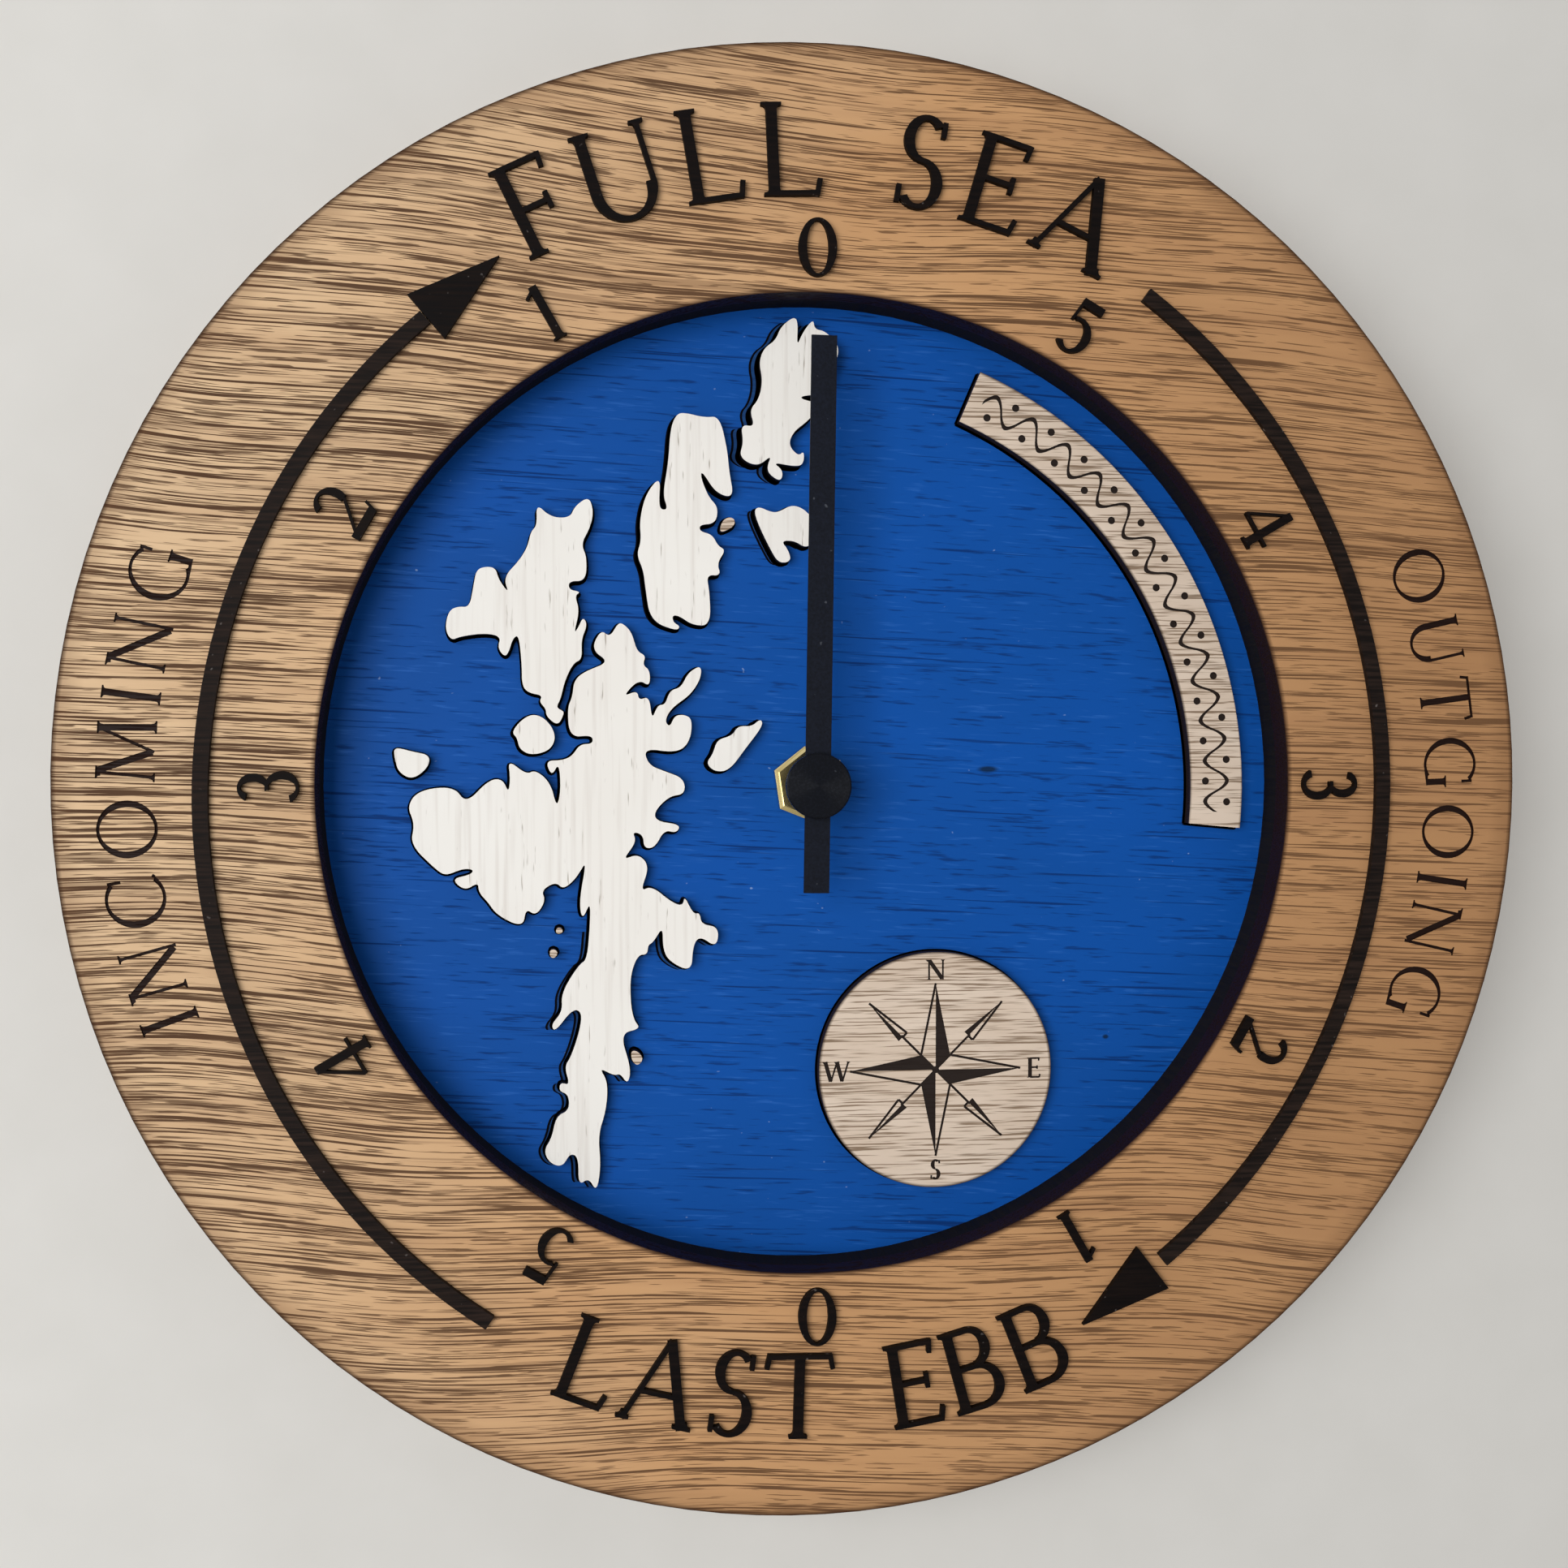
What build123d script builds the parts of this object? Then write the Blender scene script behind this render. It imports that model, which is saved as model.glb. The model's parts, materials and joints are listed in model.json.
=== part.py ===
from build123d import *
from math import cos, degrees, hypot, pi, radians, sin, tan
import os

# A wall-hung tide clock. +Z is up, the face looks along -Y and +X is to the right of someone
# reading it. The origin is the centre of the keyhole's entry hole, in the plane of the wall.
# Lengths are millimetres. A height is a distance in front of the wall.

os.makedirs("parts", exist_ok=True)

# Clock body: three glued boards, on a plain ring that stands on the wall
clock_diameter = 300.0
ring_width = 50.0
board_thickness = 6.5
frame_inset = 10.0
frame_width = 30.0
wall_clearance = 0.4

# Keyhole plate, let into the back of the frame
plate_length = 42.0
plate_width = 18.0
plate_thickness = 1.6
plate_corner = 2.0
keyhole_entry_diameter = 9.0
keyhole_slot_width = 4.6
keyhole_rise = 6.5
keyhole_pocket_depth = 9.0
keyhole_pocket_margin = 1.5
plate_screw_spread = 30.0
screw_diameter = 3.0
screw_head_diameter = 6.0
screw_head_depth = 1.5
screw_length = 12.0
screw_tip = 2.5
screw_slot_width = 0.8
screw_slot_depth = 0.6

# Raised wooden pieces on the dial
relief_thickness = 3.0
engraving_depth = 0.4
compass_diameter = 50.0
plaque_width = 11.4
plaque_margin = 4.6
plaque_start = 23.3
plaque_end = 95.3
wave_end_gap = 3.0

# Lettering, numerals and arrows on the ring
lettering_thickness = 1.5
numeral_height = 11.5
numeral_gap = 3.0
high_letter_height = 18.6
high_letter_gap = 4.5
low_letter_height = 17.2
low_letter_gap = 1.9
side_letter_height = 11.3
side_letter_margin = 8.4
strip_width = 3.0
strip_growth = 1.0
arrow_length = 18.9
arrow_width = 11.0
rising_start_gap = 21.5
rising_tip_gap = 6.2
rising_arrow_gap = 0.2
falling_start_gap = 14.7
falling_tip_gap = 9.9
falling_arrow_gap = 2.6

# Tide hand, its boss and the parts that clamp the movement to the dial
hand_width = 5.2
hand_thickness = 0.6
hand_tip_gap = 9.0
hand_tail = 21.8
hand_lift = 1.2
hand_lean = 0.8
cap_diameter = 13.3
cap_thickness = 1.8
cap_chamfer = 0.3
boss_diameter = 7.0
boss_length = 8.0
boss_chamfer = 0.4
arbor_diameter = 3.5
nut_across_flats = 14.0
nut_thickness = 2.6
nut_chamfer = 0.45
nut_turn = -21.6
washer_diameter = 13.0
washer_thickness = 0.6
bush_diameter = 8.0
bush_reach = 4.4
bush_chamfer = 0.4
dial_hole_clearance = 0.3
running_clearance = 0.05
rubber_diameter = 20.0
rubber_thickness = 1.0

# Quartz movement
case_wall = 1.2
case_corner = 3.0
case_clearance = 0.9
cover_thickness = 1.2
bay_wall = 1.2
bay_gap = 1.4
battery_diameter = 14.5
battery_length = 49.5
battery_nub_diameter = 5.5
battery_nub_length = 1.0
battery_clearance = 0.3
contact_thickness = 0.4
contact_width = 10.0
contact_bow = 2.7
gear_module = 0.18
pinion_leaves = 8
first_teeth = 91
second_teeth = 95
third_teeth = 99
tide_teeth = 107
knob_teeth = 16
wheel_thickness = 0.8
wheel_level_gap = 1.0
pinion_overlap = 0.35
wheel_front_gap = 0.8
gear_arbor_diameter = 0.8
pivot_depth = 0.8
pivot_gap = 0.2
train_back_gap = 0.6
gear_plate_thickness = 1.2
gear_plate_margin = 2.0
plate_cover_gap = 0.95
post_diameter = 3.0
magnet_diameter = 5.6
magnet_length = 2.2
magnet_gap = 0.5
stator_hole_gap = 0.5
stator_rim = 2.0
stator_thickness = 1.0
core_width = 2.4
coil_diameter = 6.0
core_length = 24.6
coil_length = 11.0
coil_inset = 3.6
circuit_width = 6.0
circuit_length = 30.0
circuit_thickness = 1.0
crystal_diameter = 2.0
crystal_length = 6.0
chip_diameter = 3.6
chip_height = 0.8
knob_diameter = 11.0
knob_thickness = 1.2
knob_gap = 0.2
knob_stem_diameter = 2.2
knob_grip_count = 24
knob_grip_depth = 0.35
knob_hole_clearance = 0.3

# Values that follow from the ones above
clock_radius = clock_diameter / 2
opening_radius = clock_radius - ring_width
frame_radius = clock_radius - frame_inset
hanger_radius = frame_radius - frame_width / 2
wheel_pitch = wheel_thickness + wheel_level_gap
wheels_depth = wheel_front_gap + wheel_thickness + 3 * wheel_pitch + pinion_overlap
rotor_depth = magnet_gap + magnet_length + train_back_gap
case_depth = case_wall + wheels_depth + rotor_depth + gear_plate_thickness + plate_cover_gap
works_depth = case_depth + cover_thickness + knob_gap + knob_thickness
battery_depth = case_wall + battery_clearance + battery_diameter
frame_depth = rubber_thickness + max(works_depth, battery_depth) + wall_clearance
dial_back = frame_depth
dial_face = dial_back + board_thickness
ring_back = dial_face + board_thickness
ring_front = ring_back + board_thickness
numeral_foot_radius = opening_radius + numeral_gap
numeral_top_radius = numeral_foot_radius + numeral_height
high_foot_radius = numeral_top_radius + high_letter_gap
low_foot_radius = numeral_top_radius + low_letter_gap + low_letter_height
side_foot_radius = clock_radius - side_letter_margin - side_letter_height
strip_radius = (clock_radius + opening_radius) / 2 + strip_growth
plaque_outer_radius = opening_radius - plaque_margin
plaque_inner_radius = plaque_outer_radius - plaque_width
hand_back = ring_front + hand_lift
hand_front = hand_back + hand_thickness
hand_reach = opening_radius - hand_tip_gap
nut_back = dial_face + washer_thickness
case_front = dial_back - rubber_thickness
case_inner = case_front - case_wall
case_rear = case_front - case_depth


def front_plane(height, right=0.0, up=0.0, turn=0.0):
    """A plane that faces the reader, at a height in front of the wall, measured from the clock's axis."""
    return Plane(
        origin=(right, -height, up - hanger_radius),
        x_dir=(cos(radians(turn)), 0, sin(radians(turn))),
        z_dir=(0, -1, 0),
    )


def rear_plane(height, right=0.0, up=0.0):
    """A plane that faces the wall."""
    return Plane(origin=(right, -height, up - hanger_radius), x_dir=(-1, 0, 0), z_dir=(0, 1, 0))


def clock_point(radius, angle):
    """A point of the face, from its distance to the axis and its angle clockwise from the top."""
    return (radius * sin(radians(angle)), radius * cos(radians(angle)))


def ring_sector(inner, outer, start, end):
    """A flat piece of a ring between two clockwise angles, about the sketch's own centre."""
    with BuildLine() as outline:
        CenterArc((0, 0), outer, 90 - start, start - end)
        CenterArc((0, 0), inner, 90 - start, start - end)
        Line(clock_point(inner, start), clock_point(outer, start))
        Line(clock_point(inner, end), clock_point(outer, end))
    make_face(outline.edges())


def upright_plane(right, height, up):
    """A plane that faces up, for pieces that stand along the clock's height."""
    return Plane(origin=(right, -height, up - hanger_radius), x_dir=(1, 0, 0), z_dir=(0, 0, 1))


def save(piece, name):
    """Names a finished piece and writes it."""
    piece.part.label = name
    export_step(piece.part, f"parts/{name}.step")


# Lettering: Roman capitals and numerals, drawn from straight strokes, serifs and oval bowls.
# Every stroke is in shares of the letter's height, from the middle of its foot line.
letter_stem_share = 0.118
letter_hair_share = 0.055
numeral_stem_share = 0.145
numeral_hair_share = 0.05
serif_reach_share = 0.0525
serif_thickness_share = 0.03
bracket_share = 0.09

# thick, thin: both ends of a straight stroke. foot, head: the middle of a serif and its stroke's weight.
# bowl: the oval's middle and half sizes, then the angle where it starts and how far it turns.
stroke_shares = {
    "A": [("thin", -0.36, 0.0, 0.0, 1.0), ("thick", 0.36, 0.0, 0.0, 1.0), ("thin", -0.25, 0.36, 0.24, 0.36),
          ("foot", -0.36, 0.0, "thin"), ("foot", 0.36, 0.0, "thick")],
    "B": [("thick", -0.24, 0.0, -0.24, 1.0), ("foot", -0.24, 0.0, "thick"), ("head", -0.24, 1.0, "thick"),
          ("thin", -0.24, 0.975, 0.02, 0.975), ("bowl", 0.0, 0.755, 0.24, 0.245, -90, 180),
          ("thin", -0.24, 0.525, 0.03, 0.525), ("bowl", 0.01, 0.275, 0.29, 0.275, -90, 180),
          ("thin", -0.24, 0.025, 0.02, 0.025)],
    "C": [("bowl", 0.06, 0.5, 0.5, 0.515, 48, 264), ("thin", 0.385, 0.70, 0.385, 0.93),
          ("thin", 0.385, 0.12, 0.42, 0.16)],
    "E": [("thick", -0.18, 0.0, -0.18, 1.0), ("foot", -0.18, 0.0, "thick"), ("head", -0.18, 1.0, "thick"),
          ("thin", -0.18, 0.975, 0.27, 0.975), ("thin", 0.255, 0.84, 0.275, 1.0),
          ("thin", -0.18, 0.52, 0.19, 0.52), ("thin", 0.18, 0.43, 0.18, 0.61),
          ("thin", -0.18, 0.025, 0.30, 0.025), ("thin", 0.285, 0.0, 0.325, 0.17)],
    "F": [("thick", -0.16, 0.0, -0.16, 1.0), ("foot", -0.16, 0.0, "thick"), ("head", -0.16, 1.0, "thick"),
          ("thin", -0.16, 0.975, 0.29, 0.975), ("thin", 0.275, 0.84, 0.295, 1.0),
          ("thin", -0.16, 0.50, 0.20, 0.50), ("thin", 0.19, 0.41, 0.19, 0.59)],
    "G": [("bowl", 0.02, 0.5, 0.5, 0.515, 48, 250), ("thin", 0.345, 0.72, 0.345, 0.93),
          ("thick", 0.34, 0.02, 0.34, 0.42), ("head", 0.34, 0.42, "thick"), ("thin", 0.02, 0.01, 0.40, 0.05)],
    "I": [("thick", 0.0, 0.0, 0.0, 1.0), ("foot", 0.0, 0.0, "thick"), ("head", 0.0, 1.0, "thick")],
    "L": [("thick", -0.18, 0.0, -0.18, 1.0), ("foot", -0.18, 0.0, "thick"), ("head", -0.18, 1.0, "thick"),
          ("thin", -0.18, 0.025, 0.30, 0.025), ("thin", 0.285, 0.0, 0.325, 0.18)],
    "M": [("thin", -0.44, 0.0, -0.38, 1.0), ("thick", -0.36, 0.97, 0.0, 0.06),
          ("thin", 0.0, 0.03, 0.38, 0.97), ("thick", 0.38, 1.0, 0.43, 0.0),
          ("foot", -0.44, 0.0, "thin"), ("foot", 0.43, 0.0, "thick"),
          ("head", -0.39, 1.0, "thick"), ("head", 0.39, 1.0, "thick")],
    "N": [("thin", -0.34, 0.0, -0.34, 1.0), ("thick", -0.33, 0.97, 0.33, 0.04),
          ("thin", 0.36, 0.0, 0.36, 1.0), ("foot", -0.34, 0.0, "thin"), ("head", -0.36, 1.0, "thick"),
          ("head", 0.36, 1.0, "thin")],
    "O": [("bowl", 0.0, 0.5, 0.5, 0.515, 0, 180), ("bowl", 0.0, 0.5, 0.5, 0.515, 180, 180)],
    "S": [("bowl", 0.0, 0.755, 0.24, 0.26, 40, 230), ("bowl", 0.0, 0.265, 0.26, 0.28, -140, 230),
          ("thin", 0.19, 0.80, 0.19, 0.97), ("thin", -0.21, 0.03, -0.21, 0.22)],
    "T": [("thick", 0.0, 0.0, 0.0, 1.0), ("foot", 0.0, 0.0, "thick"), ("thin", -0.37, 0.975, 0.37, 0.975),
          ("thin", -0.36, 1.0, -0.395, 0.83), ("thin", 0.36, 1.0, 0.395, 0.83)],
    "U": [("thick", -0.29, 0.32, -0.29, 1.0), ("bowl", 0.015, 0.34, 0.365, 0.355, 180, 180),
          ("thin", 0.35, 0.32, 0.35, 1.0), ("head", -0.29, 1.0, "thick"), ("head", 0.35, 1.0, "thin")],
    "W": [("thick", -0.56, 1.0, -0.28, 0.02), ("thin", -0.27, 0.0, 0.02, 0.96),
          ("thick", 0.02, 1.0, 0.29, 0.02), ("thin", 0.30, 0.0, 0.60, 1.0),
          ("head", -0.56, 1.0, "thick"), ("head", 0.02, 1.0, "thick"),
          ("head", 0.60, 1.0, "thin")],
    "0": [("bowl", 0.0, 0.5, 0.34, 0.51, 0, 180), ("bowl", 0.0, 0.5, 0.34, 0.51, 180, 180)],
    "1": [("thick", 0.0, 0.0, 0.0, 0.99), ("thin", -0.19, 0.83, 0.03, 0.97), ("foot", 0.0, 0.0, "thick")],
    "2": [("bowl", -0.01, 0.70, 0.29, 0.30, -25, 175), ("thin", 0.20, 0.58, -0.28, 0.05),
          ("thick", -0.31, 0.0725, 0.29, 0.0725), ("thin", 0.275, 0.04, 0.335, 0.24)],
    "3": [("bowl", -0.01, 0.75, 0.25, 0.26, -100, 250), ("bowl", -0.01, 0.27, 0.29, 0.285, -150, 250)],
    "4": [("thin", 0.10, 0.98, -0.34, 0.30), ("thin", -0.35, 0.30, 0.36, 0.30),
          ("thick", 0.12, 0.0, 0.12, 1.0), ("foot", 0.12, 0.0, "thick")],
    "5": [("bowl", -0.03, 0.32, 0.31, 0.33, -140, 255), ("thin", -0.19, 0.56, -0.14, 0.98),
          ("thick", -0.17, 0.925, 0.25, 0.925)],
}

# Room that each letter takes along its line, as a share of its height
room_shares = {"A": 0.93, "B": 0.70, "C": 0.92, "E": 0.66, "F": 0.64, "G": 0.96, "I": 0.25, "L": 0.66,
               "M": 1.08, "N": 0.95, "O": 1.0, "S": 0.58, "T": 0.80, "U": 0.87, " ": 0.42}


def stroke(start, end, weight):
    """A straight stroke between two points."""
    run = hypot(end[0] - start[0], end[1] - start[1])
    across = ((start[1] - end[1]) / run * weight / 2, (end[0] - start[0]) / run * weight / 2)
    with BuildLine() as outline:
        Polyline(
            (start[0] + across[0], start[1] + across[1]),
            (end[0] + across[0], end[1] + across[1]),
            (end[0] - across[0], end[1] - across[1]),
            (start[0] - across[0], start[1] - across[1]),
            close=True,
        )
    make_face(outline.edges())


def serif(x, y, weight, height, side):
    """A bracketed serif at one end of an upright stroke. side is 1 at a foot and -1 at a head."""
    reach = weight / 2 + serif_reach_share * height
    lip = y + side * serif_thickness_share * height
    root = y + side * bracket_share * height
    with BuildLine() as outline:
        Polyline((x - reach, lip), (x - reach, y), (x + reach, y), (x + reach, lip))
        Bezier((x + reach, lip), (x + weight / 2, lip), (x + weight / 2, root))
        Line((x + weight / 2, root), (x - weight / 2, root))
        Bezier((x - weight / 2, root), (x - weight / 2, lip), (x - reach, lip))
    make_face(outline.edges())


def bowl(middle, across, high, side, rim, start, sweep):
    """Part of an oval ring that is heavy at its sides and fine at its top and bottom."""
    with BuildLine() as outline:
        outer = EllipticalCenterArc(middle, across, high, start, arc_size=sweep)
        inner = EllipticalCenterArc(middle, across - side, high - rim, start, arc_size=sweep)
        Line(outer @ 0, inner @ 0)
        Line(outer @ 1, inner @ 1)
    make_face(outline.edges())


def glyph(letter, height, weight_share=1):
    """One letter or numeral as a flat face, with its strokes as heavy as usual or some times that."""
    stem_share = numeral_stem_share if letter.isdigit() else letter_stem_share
    hair_share = numeral_hair_share if letter.isdigit() else letter_hair_share
    weights = {"thick": weight_share * stem_share * height, "thin": weight_share * hair_share * height}
    sides = {"foot": 1, "head": -1}
    with BuildSketch() as face:
        for kind, *numbers in stroke_shares[letter]:
            if kind in weights:
                ends = [share * height for share in numbers]
                stroke(ends[:2], ends[2:], weights[kind])
            elif kind in sides:
                serif(numbers[0] * height, numbers[1] * height, weights[numbers[2]], height, sides[kind])
            else:
                x, y, across, high = (share * height for share in numbers[:4])
                bowl((x, y), across, high, weights["thick"], weights["thin"], *numbers[4:])
    return face.sketch


def word_run(word, height, gap_share):
    """The length of a word along its foot line."""
    return (sum(room_shares[letter] for letter in word) + gap_share * (len(word) - 1)) * height


def word_spots(word, height, foot_radius, middle_angle, gap_share, tops_outward=True):
    """Each letter of a word set round the ring, as its face and its place on the face of the clock."""
    way = 1 if tops_outward else -1
    run = -word_run(word, height, gap_share) / 2
    spots = []
    for letter in word:
        room = room_shares[letter] * height
        angle = middle_angle + way * degrees((run + room / 2) / foot_radius)
        run += room + gap_share * height
        if letter != " ":
            turn = -angle if tops_outward else 180 - angle
            spots.append((glyph(letter, height), Location(clock_point(foot_radius, angle), turn)))
    return spots


def place_spots(spots):
    """Lays the letters of a word into the sketch."""
    for face, spot in spots:
        with Locations(spot):
            add(face)


# Front ring: oak-veneered board, with the two side words burnt into its face
side_gap_share = 0.26
side_spots = word_spots("INCOMING", side_letter_height, side_foot_radius, 270, side_gap_share)
side_spots += word_spots("OUTGOING", side_letter_height, side_foot_radius, 90, side_gap_share)
with BuildPart() as front_ring:
    with BuildSketch(front_plane(ring_back)):
        Circle(clock_radius)
        Circle(opening_radius, mode=Mode.SUBTRACT)
    extrude(amount=board_thickness)
    with BuildSketch(front_plane(ring_front)):
        place_spots(side_spots)
    extrude(amount=-engraving_depth, mode=Mode.SUBTRACT)
save(front_ring, "front_ring")

# Spacer ring: the second layer, which makes the dial lie deep
with BuildPart() as spacer_ring:
    with BuildSketch(front_plane(dial_face)):
        Circle(clock_radius)
        Circle(opening_radius, mode=Mode.SUBTRACT)
    extrude(amount=board_thickness)
save(spacer_ring, "spacer_ring")

# Dial board: the painted back of the recess, bored for the movement's threaded bush
with BuildPart() as dial_board:
    with BuildSketch(front_plane(dial_back)):
        Circle(clock_radius)
        Circle(bush_diameter / 2 + dial_hole_clearance, mode=Mode.SUBTRACT)
    extrude(amount=board_thickness)
save(dial_board, "dial_board")

# Back frame: a plain ring that holds the movement clear of the wall, cut for the keyhole plate
screw_sides = (-plate_screw_spread / 2, plate_screw_spread / 2)
with BuildPart() as back_frame:
    with BuildSketch(front_plane(0)):
        Circle(frame_radius)
        Circle(frame_radius - frame_width, mode=Mode.SUBTRACT)
    extrude(amount=frame_depth)
    with BuildSketch(front_plane(0, 0, hanger_radius)):
        RectangleRounded(plate_length, plate_width, plate_corner)
    extrude(amount=plate_thickness, mode=Mode.SUBTRACT)
    with BuildSketch(front_plane(plate_thickness, 0, hanger_radius + keyhole_rise / 2)):
        SlotCenterToCenter(keyhole_rise, keyhole_entry_diameter + 2 * keyhole_pocket_margin, rotation=90)
    extrude(amount=keyhole_pocket_depth, mode=Mode.SUBTRACT)
    for side in screw_sides:
        with BuildSketch(front_plane(plate_thickness, side, hanger_radius)):
            Circle(screw_diameter / 2)
        extrude(amount=screw_length - plate_thickness, mode=Mode.SUBTRACT)
save(back_frame, "back_frame")

# Keyhole plate: the screw head goes in at the round hole and the slot drops over its neck
with BuildPart() as keyhole_plate:
    with BuildSketch(front_plane(0, 0, hanger_radius)):
        RectangleRounded(plate_length, plate_width, plate_corner)
        Circle(keyhole_entry_diameter / 2, mode=Mode.SUBTRACT)
        with Locations((0, keyhole_rise / 2)):
            SlotCenterToCenter(keyhole_rise, keyhole_slot_width, rotation=90, mode=Mode.SUBTRACT)
    extrude(amount=plate_thickness)
    for side in screw_sides:
        with Locations(rear_plane(0, side, hanger_radius)):
            CounterSinkHole(screw_diameter / 2, screw_head_diameter / 2)
save(keyhole_plate, "keyhole_plate")

# Plate screws: countersunk wood screws with a straight slot
with BuildPart() as keyhole_screws:
    for side in screw_sides:
        with BuildSketch(upright_plane(side, 0, hanger_radius)):
            with BuildLine():
                Polyline(
                    (0, 0),
                    (screw_head_diameter / 2, 0),
                    (screw_diameter / 2, -screw_head_depth),
                    (screw_diameter / 2, screw_tip - screw_length),
                    (0, -screw_length),
                    close=True,
                )
            make_face()
        revolve(axis=Axis((side, 0, 0), (0, 1, 0)))
        with BuildSketch(front_plane(0, side, hanger_radius)):
            Rectangle(screw_head_diameter, screw_slot_width)
        extrude(amount=screw_slot_depth, mode=Mode.SUBTRACT)
save(keyhole_screws, "keyhole_screws")

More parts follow.
